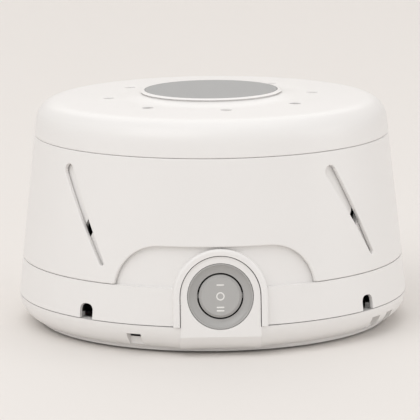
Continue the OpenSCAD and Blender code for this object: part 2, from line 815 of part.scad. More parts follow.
module cap() color(white) rotate([0, 0, cap_rest]) difference() {
    union() {
        rotate_extrude() cap_section2d();
        // stop key at the rear of the hub
        rotate([0, 0, 90 - key_half]) rotate_extrude(angle = 2 * key_half)
            translate([key_r - 0.5, hub_foot_z]) square([0.5 + 0.6 + key_reach, 3]);
    }
    for (k = [0:cap_holes - 1]) rotate([0, 0, 360 / cap_holes * k]) translate([0, -cap_hole_ring, 0]) {
        cylinder(h = big, r = cap_hole_d / 2);
        cylinder(h = dome_at(cap_hole_ring) - cap_hole_skin, r = cap_hole_d / 2 + 1);
    }
}

// Bevelled ring round the emblem. Its neck sits in the pad and keeps the bevel off it
module emblem_ring() color(white) rotate_extrude() polygon([
    [ring_in_r, pad_z - ring_seat], [ring_neck_r, pad_z - ring_seat],
    [ring_neck_r, pad_z + ring_gap], [ring_r, pad_z + ring_gap],
    [ring_r, pad_z + ring_gap + 0.1], [ring_r - ring_w + 0.5, emblem_top_z],
    [ring_in_r, emblem_top_z]
]);

module emblem_disc() color([0.67, 0.68, 0.68]) cylinder_from(pad_z, emblem_top_z, emblem_r);

module cap_washer() color(steel) translate([0, 0, post_top_z])
    tube(washer_t, washer_seat_r - 0.4, screw_d / 2 + fit_gap);

module cap_screw() color(steel) translate([0, 0, post_top_z + washer_t]) mirror([0, 0, 1])
    screw(post_top_z + washer_t - well_floor_z);

// ---------------------------------------------------------------- motor mounting

plate_z = floor_z + plate_rise;
plate_top = plate_z + plate_t;
grommet_neck_r = 4;
grommet_flange_r = 6;
grommet_post_r = 2.6;
grommet_seat = 1.8;
grommet_top_z = plate_top + grommet_seat;

module motor_plate() color(steel) difference() {
    cylinder_from(plate_z, plate_top, plate_r);
    on_diagonals() translate([0, -grommet_ring, 0])
        cylinder_from(0, big, grommet_neck_r + 0.1);
    // scallops between the grommets lighten the plate
    for (a = [0:90:270]) rotate([0, 0, a]) translate([0, -plate_r - 8, 0])
        cylinder_from(0, big, 16);
    for (side = [-1, 1]) translate([side * bracket_screw_x, 0, 0])
        cylinder_from(0, big, screw_d / 2 + run_gap);
    cylinder_from(0, big, 8);
}

// Rubber spools that grip the plate and sit on the pan's posts
module motor_grommets() color([0.15, 0.15, 0.15]) on_diagonals() translate([0, -grommet_ring, 0])
    difference() {
        union() {
            cylinder_from(plate_z - grommet_seat, plate_z, grommet_flange_r);
            cylinder_from(plate_z - 0.1, plate_top + 0.1, grommet_neck_r);
            cylinder_from(plate_top, grommet_top_z, grommet_flange_r);
        }
        cylinder_from(0, big, grommet_post_r + 0.1);
    }

module grommet_screws() color(steel) on_diagonals() translate([0, -grommet_ring, grommet_top_z])
    mirror([0, 0, 1]) screw(plate_rise + plate_t);

// ---------------------------------------------------------------- motor

stack_z = plate_top + stack_rise;
stack_top = stack_z + stack_t;
bore_r = rotor_r + air_gap;
window_y = 17;
bobbin_t = 1.2;
bearing_r = 5;
bearing_h = 6;
cup_wall = 1.6;
bridge_t = 1.6;
lower_bridge_z = stack_z - bridge_gap - bridge_t;
upper_bridge_z = stack_top + bridge_gap;
shading_x = 17.5;
shading_w = 2;
shading_t = 1.6;
shading_y = -8;

module stack2d() difference() {
    translate([-stack_w / 2, -stack_front])
        square([stack_w, stack_front + limb_y + limb_d]);
    circle(bore_r);
    // window round the coil, and the gap that splits the two poles
    translate([-coil_window_w / 2, window_y]) square([coil_window_w, limb_y - window_y]);
    translate([-0.8, -stack_front - 1]) square([1.6, stack_front + window_y + 2]);
    for (side = [-1, 1]) {
        translate([side * bracket_screw_x, 0]) circle(screw_d / 2 + run_gap);
        translate([side * shading_x - shading_w / 2 - fit_gap, shading_y - shading_t - fit_gap])
            square([shading_w + 2 * fit_gap, shading_t + 2 * fit_gap]);
    }
}

module lamination_stack() color([0.45, 0.46, 0.48])
    translate([0, 0, stack_z]) linear_extrude(stack_t) stack2d();

// Closed copper loops through the poles, which make the field turn
module shading_rings() color(copper) for (side = [-1, 1])
    translate([side * shading_x - shading_w / 2, 0, 0]) {
        y_in = shading_y;
        y_out = -stack_front - fit_gap - shading_t;
        z_lo = stack_z - fit_gap - shading_t;
        z_hi = stack_top + fit_gap + shading_t;
        difference() {
            translate([0, y_out, z_lo]) cube([shading_w, y_in - y_out, z_hi - z_lo]);
            translate([-1, y_out + shading_t, z_lo + shading_t])
                cube([shading_w + 2, y_in - y_out - 2 * shading_t, z_hi - z_lo - 2 * shading_t]);
        }
    }

// Frame that wraps the coil limb: spool outline moved out by w from the limb
module round_limb(w, x_half)
    translate([-x_half, limb_y - w, stack_z - w])
        cube([2 * x_half, limb_d + 2 * w, stack_t + 2 * w]);

bobbin_half = coil_window_w / 2 - fit_gap;
spool_w = fit_gap + bobbin_t;

module coil_bobbin() color([0.9, 0.88, 0.8]) difference() {
    union() {
        round_limb(spool_w, bobbin_half);
        for (side = [-1, 1]) translate([side * (bobbin_half - bobbin_t / 2), 0, 0])
            round_limb(spool_w + winding_t + 0.6, bobbin_t / 2);
        // block that holds the ends of the leads
        translate([block_face_x, block_y - block_pitch, block_z - 2])
            cube([-bobbin_half - block_face_x + 0.5, 2 * block_pitch, 4]);
    }
    round_limb(fit_gap, big);
    for (side = [-1, 1]) translate([block_face_x - 1, block_y + side * block_pitch / 2, block_z])
        rotate([0, 90, 0]) cylinder(h = 4, r = lead_r + 0.05);
}

module coil_winding() color(copper) difference() {
    round_limb(spool_w + winding_t, bobbin_half - bobbin_t - 0.1);
    round_limb(spool_w + 0.1, big);
}

// Bearing bracket: bridge over the rotor, two legs and a cup for the bearing.
// z_foot is where the legs meet the stack, z_bridge the bridge's underside, z_end the legs' other end
module bracket(z_foot, z_bridge, z_end) difference() {
    leg_in = bore_r + 1.6;
    union() {
        translate([-stack_w / 2 + 0.5, -bracket_w / 2, z_bridge])
            cube([stack_w - 1, bracket_w, bridge_t]);
        for (side = [0, 1]) mirror([side, 0, 0])
            translate([leg_in, -bracket_w / 2 + 1, min(z_foot, z_end)])
                cube([stack_w / 2 - 0.5 - leg_in, bracket_w - 2, abs(z_foot - z_end)]);
        translate([0, 0, z_bridge + bridge_t / 2 - bearing_h / 2])
            cylinder(h = bearing_h, r = bearing_r + cup_wall);
    }
    cylinder_from(0, big, bearing_r + 0.02);
    for (side = [-1, 1]) translate([side * bracket_screw_x, 0, 0])
        cylinder_from(0, big, screw_d / 2 + run_gap);
}

module lower_bracket() color(steel) bracket(stack_z, lower_bridge_z, plate_top);
module upper_bracket() color(steel) bracket(stack_top, upper_bridge_z, upper_bridge_z + bridge_t);

// Sintered bearing with a rounded waist
module bearing(z_mid) translate([0, 0, z_mid]) difference() {
    intersection() {
        cylinder(h = bearing_h - 0.4, r = bearing_r, center = true);
        sphere(r = bearing_r + 0.35);
    }
    cylinder(h = big, r = shaft_d / 2 + run_gap, center = true);
}

module lower_bearing() color([0.7, 0.55, 0.3]) bearing(lower_bridge_z + bridge_t / 2);
module upper_bearing() color([0.7, 0.55, 0.3]) bearing(upper_bridge_z + bridge_t / 2);

nut_t = 2.4;
// Through screws that clamp plate, brackets and stack, with nuts under the plate
module motor_screws() color(steel) for (side = [-1, 1])
    translate([side * bracket_screw_x, 0, upper_bridge_z + bridge_t]) mirror([0, 0, 1])
        screw(upper_bridge_z + bridge_t - plate_z + nut_t + 0.6);

module motor_nuts() color(steel) for (side = [-1, 1])
    translate([side * bracket_screw_x, 0, plate_z - nut_t]) linear_extrude(nut_t) difference() {
        circle(screw_d * 0.95, $fn = 6);
        circle(screw_d / 2 + 0.02);
    }

// ---------------------------------------------------------------- rotor and fan

end_ring_h = 2;
shaft_foot_z = lower_bridge_z + bridge_t / 2 - bearing_h / 2 - 0.6;
bearing_top_z = upper_bridge_z + bridge_t / 2 + bearing_h / 2;
fan_z = bearing_top_z + 1.6;
web_t = 1.6;
fan_hub_r = 7;
fan_hub_h = 11;
clip_t = 0.8;
shaft_top_z = fan_z + fan_hub_h + 4;

module rotor_core() color([0.55, 0.56, 0.58]) difference() {
    union() {
        cylinder_from(stack_z, stack_top, rotor_r);
        cylinder_from(stack_z - end_ring_h, stack_top + end_ring_h, rotor_r - 1.6);
    }
    cylinder_from(0, big, shaft_d / 2 + 0.01);
    for (z = [stack_z - end_ring_h - 1, stack_top + 1])
        difference() {
            cylinder_from(z, z + end_ring_h + 0.01, rotor_r - 4.5);
            cylinder_from(z - 1, z + end_ring_h + 1, shaft_d / 2 + 1.5);
        }
}

module motor_shaft() color([0.8, 0.8, 0.82]) {
    cylinder_from(shaft_foot_z, shaft_top_z - 0.5, shaft_d / 2);
    translate([0, 0, shaft_top_z - 0.5]) cylinder(h = 0.5, r1 = shaft_d / 2, r2 = shaft_d / 2 - 0.5);
}

// Fibre washers between the rotor and its two bearings
module thrust_washers() color([0.5, 0.35, 0.25]) {
    cylinder_between_bearings(lower_bridge_z + bridge_t / 2 + bearing_h / 2, stack_z - end_ring_h);
    cylinder_between_bearings(stack_top + end_ring_h, upper_bridge_z + bridge_t / 2 - bearing_h / 2);
}

module cylinder_between_bearings(z_lo, z_hi) translate([0, 0, z_lo + 0.1])
    tube(z_hi - z_lo - 0.2, shaft_d / 2 + 1.3, shaft_d / 2 + 0.02);

// Turn of blade k: even steps with a stagger that keeps the wheel balanced
function blade_turn(k) = 360 / fan_blades * k + blade_stagger * sin(2 * 360 / fan_blades * k);

module fan_wheel() color([0.25, 0.26, 0.28]) translate([0, 0, fan_z]) difference() {
    union() {
        cylinder(h = web_t, r = fan_r);
        cylinder(h = fan_hub_h, r = fan_hub_r);
        tube(web_t + 2, blade_root_r - 3, blade_root_r - 4.6);
        // curved blades: arcs cut out of thin tubes
        intersection() {
            tube(web_t + blade_h, fan_r, blade_root_r);
            for (k = [0:fan_blades - 1]) rotate([0, 0, blade_turn(k)])
                translate([fan_r * 0.72, -blade_arc_r + 2, 0]) intersection() {
                    tube(web_t + blade_h, blade_arc_r, blade_arc_r - blade_t);
                    translate([-blade_arc_r, 0, 0]) cube(2 * blade_arc_r);
                }
        }
    }
    cylinder(h = big, r = shaft_d / 2 + 0.02, center = true);
    // holes that let air through the web
    for (k = [0:5]) rotate([0, 0, 60 * k]) translate([blade_root_r * 0.58, 0, -1])
        cylinder(h = web_t + 2, r = 3);
}
blade_arc_r = 18;

// Push-on spring clip over the hub
module fan_clip() color(steel) translate([0, 0, fan_z + fan_hub_h + 0.1]) difference() {
    union() {
        tube(clip_t, fan_hub_r - 1.5, shaft_d / 2 + 0.02);
        tube(clip_t + 1, shaft_d / 2 + 1.2, shaft_d / 2 + 0.02);
    }
    for (a = [0:60:150]) rotate([0, 0, a]) translate([0, 0, clip_t + 1])
        cube([fan_hub_r, 0.6, 2], center = true);
}

// ---------------------------------------------------------------- leads

lead_r = 0.9;
lead_sides = 8;
sleeve_l = blade_l - 0.6;
crimp_l = 5.5;
crimp_r = 1.7;
block_face_x = -bobbin_half - 5;
block_y = limb_y + limb_d + 3.7;
block_z = stack_z - 3.5;
block_pitch = 3.2;

// Point of the switch's frame in the shared frame
function from_switch(x, y, z) = [
    x,
    -wall_r(switch_z) + y * sin(lean_a) - z * cos(lean_a),
    switch_z + y * cos(lean_a) + z * sin(lean_a)
];
tail = -barrel_depth - blade_l;
lead_routes = [
    [from_switch(0, blade_pitch, tail - 2), from_switch(0, blade_pitch, tail - crimp_l - 0.4),
        from_switch(0, blade_pitch, tail - crimp_l - 3), [-7, -35.5, 25], [-16, -35, 24], [-28, -27, 19], [-34, -6, 15], [-34, 16, 13.5], [-32, 30, 14],
        [-28, 38, 15.5], [-23, block_y - block_pitch / 2, block_z], [block_face_x - 1, block_y - block_pitch / 2, block_z],
        [block_face_x + 2.5, block_y - block_pitch / 2, block_z]],
    [from_switch(0, -blade_pitch, tail - 2), from_switch(0, -blade_pitch, tail - crimp_l - 0.4),
        from_switch(0, -blade_pitch, tail - crimp_l - 3), [-8, -36.5, 13], [-20, -37, 13], [-34, -28, 13], [-40, -6, 12], [-39, 18, 12], [-34, 34, 13.5],
        [-29, 42.5, 15.5], [-23, block_y + block_pitch / 2, block_z], [block_face_x - 1, block_y + block_pitch / 2, block_z],
        [block_face_x + 2.5, block_y + block_pitch / 2, block_z]]
];

// Crimped receptacles that push onto the outer two blades
module spade_connectors() color([0.75, 0.7, 0.6]) switch_frame() for (side = [-1, 1])
    translate([0, side * blade_pitch, 0]) difference() {
        union() {
            translate([-blade_w / 2 - 0.7, -blade_thick / 2 - 0.7, tail - 0.6])
                cube([blade_w + 1.4, blade_thick + 1.4, sleeve_l + 0.6]);
            translate([0, 0, tail - crimp_l]) cylinder(h = crimp_l, r = crimp_r);
        }
        translate([-blade_w / 2 - 0.05, -blade_thick / 2 - 0.05, tail - 0.1])
            cube([blade_w + 0.1, blade_thick + 0.1, blade_l]);
        translate([0, 0, tail - crimp_l - 1]) cylinder(h = crimp_l, r = lead_r + 0.05);
    }

// Catmull-Rom point between q and r, at u from 0 to 1
function spline(p, q, r, s, u) = 0.5 * (2 * q + (r - p) * u + (2 * p - 5 * q + 4 * r - s) * u * u
    + (3 * q - p - 3 * r + s) * u * u * u);
function route_point(route, k) = route[min(max(k, 0), len(route) - 1)];
function smooth_route(route, steps) = concat(
    [for (k = [0:len(route) - 2], j = [0:steps - 1])
        spline(route_point(route, k - 1), route_point(route, k), route_point(route, k + 1),
            route_point(route, k + 2), j / steps)],
    [route[len(route) - 1]]);
function unit(v) = v / norm(v);
function heading(path, k) =
    unit(path[min(k + 1, len(path) - 1)] - path[max(k - 1, 0)]);
// Ring of points round path point k
function lead_ring(path, k) = let (
        along = heading(path, k),
        side = unit(cross(along, [0, 0, 1])),
        up = cross(side, along))
    [for (j = [0:lead_sides - 1])
        path[k] + lead_r * (cos(360 * j / lead_sides) * side + sin(360 * j / lead_sides) * up)];

module lead(route) {
    path = smooth_route(route, 4);
    n = len(path);
    polyhedron(
        points = [for (k = [0:n - 1]) each lead_ring(path, k)],
        faces = concat(
            [[for (j = [0:lead_sides - 1]) j]],
            [for (k = [0:n - 2], j = [0:lead_sides - 1]) let (m = (j + 1) % lead_sides)
                [k * lead_sides + j, (k + 1) * lead_sides + j, (k + 1) * lead_sides + m,
                    k * lead_sides + m]],
            [[for (j = [lead_sides - 1:-1:0]) (n - 1) * lead_sides + j]])
    );
}

module lead_wires() color([0.75, 0.15, 0.12]) for (route = lead_routes) lead(route);

base_pan();
rubber_feet();
base_screws();
inner_housing();
cord_gland();
switch_bezel();
switch_body();
switch_terminals();
rocker_button();
collar();
cap();
emblem_ring();
emblem_disc();
cap_screw();
cap_washer();
motor_plate();
motor_grommets();
grommet_screws();
lower_bracket();
upper_bracket();
lower_bearing();
upper_bearing();
lamination_stack();
shading_rings();
coil_bobbin();
coil_winding();
motor_screws();
motor_nuts();
rotor_core();
motor_shaft();
thrust_washers();
fan_wheel();
fan_clip();
spade_connectors();
lead_wires();
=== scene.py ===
"""Looks of a fan-driven white noise sound machine.

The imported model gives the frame: a base pan, a fixed slotted drum, a slotted collar and a cap that
turn round it, a round rocker switch, and the motor and fan inside. This file dresses it. The sizes
of the pieces are in millimetres, those of the studio in metres. +Z is up, the Z axis is the fan's
axis and the switch faces -Y.
"""

import json
import logging
import math
from collections.abc import Callable
from dataclasses import dataclass
from enum import Enum
from typing import ClassVar

import bmesh
import bpy
import numpy as np
from mathutils import Matrix, Vector
from mathutils.geometry import delaunay_2d_cdt


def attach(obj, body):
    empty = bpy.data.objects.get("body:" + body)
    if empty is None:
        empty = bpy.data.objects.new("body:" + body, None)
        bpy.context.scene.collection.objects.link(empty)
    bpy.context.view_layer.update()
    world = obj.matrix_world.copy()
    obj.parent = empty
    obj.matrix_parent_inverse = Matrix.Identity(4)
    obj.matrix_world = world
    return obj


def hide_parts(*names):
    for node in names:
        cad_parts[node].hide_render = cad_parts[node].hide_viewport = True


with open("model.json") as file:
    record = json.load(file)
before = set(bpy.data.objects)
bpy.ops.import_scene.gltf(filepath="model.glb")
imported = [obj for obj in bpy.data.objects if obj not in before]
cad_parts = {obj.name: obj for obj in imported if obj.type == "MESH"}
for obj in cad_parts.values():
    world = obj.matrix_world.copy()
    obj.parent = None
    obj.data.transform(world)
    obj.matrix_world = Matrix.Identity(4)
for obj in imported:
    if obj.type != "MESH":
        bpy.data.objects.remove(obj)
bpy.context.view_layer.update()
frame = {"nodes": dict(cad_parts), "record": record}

LOG = logging.getLogger("sound_machine")
MM = 0.001
MERGE_M = 2e-7
SENSOR_MM = 36.0
IMAGE_SIDE = 420
Rgb = tuple[float, float, float]


def linear(red: float, green: float, blue: float) -> Rgb:
    """Turns display values from 0 to 255 into the linear values that a shader takes.

    Args:
        red: Display value of the red channel.
        green: Display value of the green channel.
        blue: Display value of the blue channel.

    Returns:
        The three linear values from 0 to 1.
    """
    shares = (red / 255, green / 255, blue / 255)
    return tuple(s / 12.92 if s <= 0.04045 else ((s + 0.055) / 1.055) ** 2.4 for s in shares)


# ------------------------------------------------------------------------------- finishes


class Finish(Enum):
    """The finishes of the machine, named as the record's material slots."""

    SHELL_WHITE = "shell_white"
    SWITCH_GREY = "switch_grey"
    EMBLEM_GREY = "emblem_grey"
    BLACK_PLASTIC = "black_plastic"
    FOOT_RUBBER = "foot_rubber"
    ZINC_STEEL = "zinc_steel"
    LAMINATION_STEEL = "lamination_steel"
    SHAFT_STEEL = "shaft_steel"
    COPPER = "copper"
    BEARING_BRONZE = "bearing_bronze"
    BOBBIN_NYLON = "bobbin_nylon"
    FAN_PLASTIC = "fan_plastic"
    FIBRE = "fibre"
    LEAD_RED = "lead_red"
    TIN_BRASS = "tin_brass"
    MARK_INK = "mark_ink"


class NodeBench:
    """Places and links shader nodes in one node tree."""

    def __init__(self, tree: bpy.types.NodeTree) -> None:
        """Takes the tree and empties it.

        Args:
            tree: The node tree of a material, a world or a group.
        """
        self.tree = tree
        tree.nodes.clear()

    def add(self, kind: str, **settings: object) -> bpy.types.Node:
        """Adds a node.

        Args:
            kind: The node's Blender type name.
            settings: Properties of the node, by name.

        Returns:
            The new node.
        """
        node = self.tree.nodes.new(kind)
        for name, value in settings.items():
            setattr(node, name, value)
        return node

    def link(self, source: bpy.types.NodeSocket, target: bpy.types.NodeSocket) -> None:
        """Links an output to an input."""
        self.tree.links.new(source, target)


class MouldedSkin:
    """Shader group for moulded plastic: fine grain, and gloss and shade that vary slowly.

    Its outputs are a factor for the colour, a roughness and a normal.
    """

    NAME = "moulded_skin"
    GRAIN_DEPTH = 0.00002
    GRAIN_DETAIL = 3.0
    PATCH_SCALE = 38.0
    PATCH_DETAIL = 4.0
    MEAN_NOISE = 0.5

    def __init__(self) -> None:
        """Builds the group."""
        self.tree = bpy.data.node_groups.new(self.NAME, "ShaderNodeTree")
        bench = NodeBench(self.tree)
        sockets = self.tree.interface
        for name, kind in (
            ("Grain Scale", "NodeSocketFloat"),
            ("Grain Height", "NodeSocketFloat"),
            ("Roughness", "NodeSocketFloat"),
            ("Roughness Spread", "NodeSocketFloat"),
            ("Tint Spread", "NodeSocketFloat"),
        ):
            sockets.new_socket(name=name, in_out="INPUT", socket_type=kind)
        sockets.new_socket(name="Shade", in_out="OUTPUT", socket_type="NodeSocketFloat")
        sockets.new_socket(name="Roughness", in_out="OUTPUT", socket_type="NodeSocketFloat")
        sockets.new_socket(name="Normal", in_out="OUTPUT", socket_type="NodeSocketVector")
        given = bench.add("NodeGroupInput")
        result = bench.add("NodeGroupOutput")
        place = bench.add("ShaderNodeTexCoord")

        grain = bench.add("ShaderNodeTexNoise")
        grain.inputs["Detail"].default_value = self.GRAIN_DETAIL
        bench.link(place.outputs["Object"], grain.inputs["Vector"])
        bench.link(given.outputs["Grain Scale"], grain.inputs["Scale"])
        bump = bench.add("ShaderNodeBump")
        bump.inputs["Distance"].default_value = self.GRAIN_DEPTH
        bench.link(given.outputs["Grain Height"], bump.inputs["Strength"])
        bench.link(grain.outputs["Fac"], bump.inputs["Height"])
        bench.link(bump.outputs["Normal"], result.inputs["Normal"])

        slow = bench.add("ShaderNodeTexNoise")
        slow.inputs["Scale"].default_value = self.PATCH_SCALE
        slow.inputs["Detail"].default_value = self.PATCH_DETAIL
        bench.link(place.outputs["Object"], slow.inputs["Vector"])
        centred = bench.add("ShaderNodeMath", operation="SUBTRACT")
        centred.inputs[1].default_value = self.MEAN_NOISE
        bench.link(slow.outputs["Fac"], centred.inputs[0])
        uneven = bench.add("ShaderNodeMath", operation="MULTIPLY_ADD")
        bench.link(centred.outputs[0], uneven.inputs[0])
        bench.link(given.outputs["Roughness Spread"], uneven.inputs[1])
        bench.link(given.outputs["Roughness"], uneven.inputs[2])
        bench.link(uneven.outputs[0], result.inputs["Roughness"])
        tint = bench.add("ShaderNodeMath", operation="MULTIPLY_ADD")
        bench.link(centred.outputs[0], tint.inputs[0])
        bench.link(given.outputs["Tint Spread"], tint.inputs[1])
        tint.inputs[2].default_value = 1.0
        bench.link(tint.outputs[0], result.inputs["Shade"])


@dataclass(frozen=True)
class PlasticFinish:
    """A moulded plastic or rubber: colour, gloss and grain."""

    slot: Finish
    colour: Rgb
    roughness: float
    roughness_spread: float = 0.08
    tint_spread: float = 0.02
    grain_scale: float = 2600.0
    grain_height: float = 0.12
    specular: float = 0.5

    def make(self, skin: MouldedSkin) -> bpy.types.Material:
        """Builds the material.

        Args:
            skin: The shared group for moulded skins.

        Returns:
            The finished material.
        """
        material = bpy.data.materials.new(self.slot.value)
        material.use_nodes = True
        bench = NodeBench(material.node_tree)
        shader = bench.add("ShaderNodeBsdfPrincipled")
        output = bench.add("ShaderNodeOutputMaterial")
        bench.link(shader.outputs[0], output.inputs["Surface"])
        group = bench.add("ShaderNodeGroup", node_tree=skin.tree)
        group.inputs["Grain Scale"].default_value = self.grain_scale
        group.inputs["Grain Height"].default_value = self.grain_height
        group.inputs["Roughness"].default_value = self.roughness
        group.inputs["Roughness Spread"].default_value = self.roughness_spread
        group.inputs["Tint Spread"].default_value = self.tint_spread
        tinted = bench.add("ShaderNodeMix", data_type="RGBA", blend_type="MULTIPLY")
        tinted.inputs["Factor"].default_value = 1.0
        tinted.inputs["A"].default_value = (*self.colour, 1.0)
        bench.link(group.outputs["Shade"], tinted.inputs["B"])
        bench.link(tinted.outputs["Result"], shader.inputs["Base Color"])
        bench.link(group.outputs["Roughness"], shader.inputs["Roughness"])
        bench.link(group.outputs["Normal"], shader.inputs["Normal"])
        shader.inputs["Specular IOR Level"].default_value = self.specular
        return material


@dataclass(frozen=True)
class MetalFinish:
    """A plain metal: colour, roughness and the spread of its patches."""

    slot: Finish
    colour: Rgb
    roughness: float
    patch_scale: float = 220.0
    patch_detail: float = 5.0
    patch_spread: tuple[float, float] = (-0.08, 0.12)

    def make(self) -> bpy.types.Material:
        """Builds the material.

        Returns:
            The finished material.
        """
        material = bpy.data.materials.new(self.slot.value)
        material.use_nodes = True
        bench = NodeBench(material.node_tree)
        shader = bench.add("ShaderNodeBsdfPrincipled")
        output = bench.add("ShaderNodeOutputMaterial")
        bench.link(shader.outputs[0], output.inputs["Surface"])
        place = bench.add("ShaderNodeTexCoord")
        patches = bench.add("ShaderNodeTexNoise")
        patches.inputs["Scale"].default_value = self.patch_scale
        patches.inputs["Detail"].default_value = self.patch_detail
        bench.link(place.outputs["Object"], patches.inputs["Vector"])
        spread = bench.add("ShaderNodeMapRange")
        spread.inputs["To Min"].default_value = self.roughness + self.patch_spread[0]
        spread.inputs["To Max"].default_value = self.roughness + self.patch_spread[1]
        bench.link(patches.outputs["Fac"], spread.inputs["Value"])
        bench.link(spread.outputs[0], shader.inputs["Roughness"])
        shader.inputs["Base Color"].default_value = (*self.colour, 1.0)
        shader.inputs["Metallic"].default_value = 1.0
        return material


PLASTICS = (
    PlasticFinish(Finish.SHELL_WHITE, linear(238, 236, 234), 0.34, grain_height=0.08),
    PlasticFinish(Finish.SWITCH_GREY, linear(179, 178, 176), 0.34),
    PlasticFinish(Finish.EMBLEM_GREY, linear(158, 159, 159), 0.4, tint_spread=0.06),
    PlasticFinish(Finish.BLACK_PLASTIC, linear(36, 36, 38), 0.45),
    PlasticFinish(Finish.FOOT_RUBBER, linear(44, 43, 42), 0.75, grain_height=0.4),
    PlasticFinish(Finish.BOBBIN_NYLON, linear(222, 216, 198), 0.4),
    PlasticFinish(Finish.FAN_PLASTIC, linear(58, 60, 62), 0.45),
    PlasticFinish(Finish.FIBRE, linear(126, 92, 66), 0.8, tint_spread=0.2),
    PlasticFinish(Finish.LEAD_RED, linear(150, 28, 24), 0.4),
    PlasticFinish(Finish.MARK_INK, linear(236, 235, 232), 0.5),
)
METALS = (
    MetalFinish(Finish.ZINC_STEEL, (0.62, 0.63, 0.66), 0.38),
    MetalFinish(Finish.LAMINATION_STEEL, (0.34, 0.35, 0.37), 0.5),
    MetalFinish(Finish.SHAFT_STEEL, (0.72, 0.73, 0.75), 0.22),
    MetalFinish(Finish.COPPER, (0.72, 0.33, 0.16), 0.35),
    MetalFinish(Finish.BEARING_BRONZE, (0.6, 0.42, 0.2), 0.5),
    MetalFinish(Finish.TIN_BRASS, (0.74, 0.68, 0.5), 0.3),
)


def make_materials() -> dict[Finish, bpy.types.Material]:
    """Builds every finish once.

    Returns:
        The materials by finish.
    """
    skin = MouldedSkin()
    made = {finish.slot: finish.make(skin) for finish in PLASTICS}
    made.update({finish.slot: finish.make() for finish in METALS})
    return made


def dress_nodes(materials: dict[Finish, bpy.types.Material]) -> None:
    """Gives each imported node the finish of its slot.

    Args:
        materials: The materials by finish.
    """
    for entry in frame["record"]["subparts"]:
        node = frame["nodes"][entry["node"]]
        node.data.materials.clear()
        node.data.materials.append(materials[Finish(entry["material_slot"])])
        LOG.info("%s: %s", entry["node"], entry["material_slot"])


# ------------------------------------------------------------------------------- shapes


def put_in_scene(
    name: str, points: np.ndarray, faces: list[np.ndarray], body: str, slot: Finish
) -> bpy.types.Object:
    """Makes a smooth piece out of points and faces and lets it ride on a body.

    Args:
        name: Name of the piece.
        points: Points in millimetres, one row each.
        faces: Arrays of point numbers, one face a row, one array for each number of corners.
        body: Body that the piece rides on.
        slot: Material slot of the piece; not used.

    Returns:
        The new object.
    """
    mesh = bpy.data.meshes.new(name)
    sizes = np.concatenate([np.full(len(f), f.shape[1], np.int32) for f in faces])
    corners = np.concatenate([f.ravel() for f in faces]).astype(np.int32)
    mesh.vertices.add(len(points))
    mesh.vertices.foreach_set("co", (points * MM).astype(np.float32).ravel())
    mesh.loops.add(len(corners))
    mesh.loops.foreach_set("vertex_index", corners)
    mesh.polygons.add(len(sizes))
    mesh.polygons.foreach_set("loop_start", (np.cumsum(sizes) - sizes).astype(np.int32))
    mesh.polygons.foreach_set("use_smooth", np.ones(len(sizes), bool))
    mesh.update(calc_edges=True)
    net = bmesh.new()
    net.from_mesh(mesh)
    bmesh.ops.remove_doubles(net, verts=net.verts, dist=MERGE_M)
    net.to_mesh(mesh)
    net.free()
    piece = bpy.data.objects.new(name, mesh)
    bpy.context.scene.collection.objects.link(piece)
    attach(piece, body)
    LOG.info("%s: %d faces on %s", name, len(mesh.polygons), body)
    return piece


def grid_faces(rows: int, columns: int, round_rows: bool, round_columns: bool) -> np.ndarray:
    """Numbers the four-cornered faces of a grid of points.

    Args:
        rows: Number of rows.
        columns: Number of columns.
        round_rows: Whether the last row joins the first.
        round_columns: Whether the last column joins the first.

    Returns:
        The faces, one a row.
    """
    index = np.arange(rows * columns).reshape(rows, columns)
    if round_rows:
        index = np.concatenate([index, index[:1]])
    if round_columns:
        index = np.concatenate([index, index[:, :1]], axis=1)
    corners = (index[:-1, :-1], index[:-1, 1:], index[1:, 1:], index[1:, :-1])
    return np.stack(corners, axis=-1).reshape(-1, 4)


def soften(corners: list[tuple[float, float, float]], steps: int = 5) -> np.ndarray:
    """Rounds the corners of a closed outline.

    Each corner is replaced by an arc of its own radius that is tangent to both sides: it starts
    radius * tan(half the turn) before the corner and its points are spaced evenly in angle.

    Args:
        corners: First and second coordinate and radius of each corner.
        steps: Number of steps in each arc.

    Returns:
        The outline's points, one a row.
    """
    places = np.array([c[:2] for c in corners])
    radii = np.array([c[2] for c in corners])
    before = places - np.roll(places, 1, axis=0)
    after = np.roll(places, -1, axis=0) - places
    before /= np.linalg.norm(before, axis=1, keepdims=True)
    after /= np.linalg.norm(after, axis=1, keepdims=True)
    turn = np.arctan2(
        before[:, 0] * after[:, 1] - before[:, 1] * after[:, 0], (before * after).sum(axis=1)
    )
    reach = radii * np.tan(np.abs(turn) / 2)
    start = places - before * reach[:, None]
    side = np.sign(turn)[:, None] * np.stack([-before[:, 1], before[:, 0]], axis=1)
    middle = start + side * radii[:, None]
    share = np.linspace(0, 1, steps + 1)
    swing = turn[:, None] * share[None, :]
    cos, sin = np.cos(swing)[..., None], np.sin(swing)[..., None]
    arm = (start - middle)[:, None, :]
    across = np.stack([-arm[..., 1], arm[..., 0]], axis=-1)
    points = (middle[:, None, :] + arm * cos + across * sin).reshape(-1, 2)
    step = np.linalg.norm(points - np.roll(points, 1, axis=0), axis=1)
    return points[step > 1e-6]


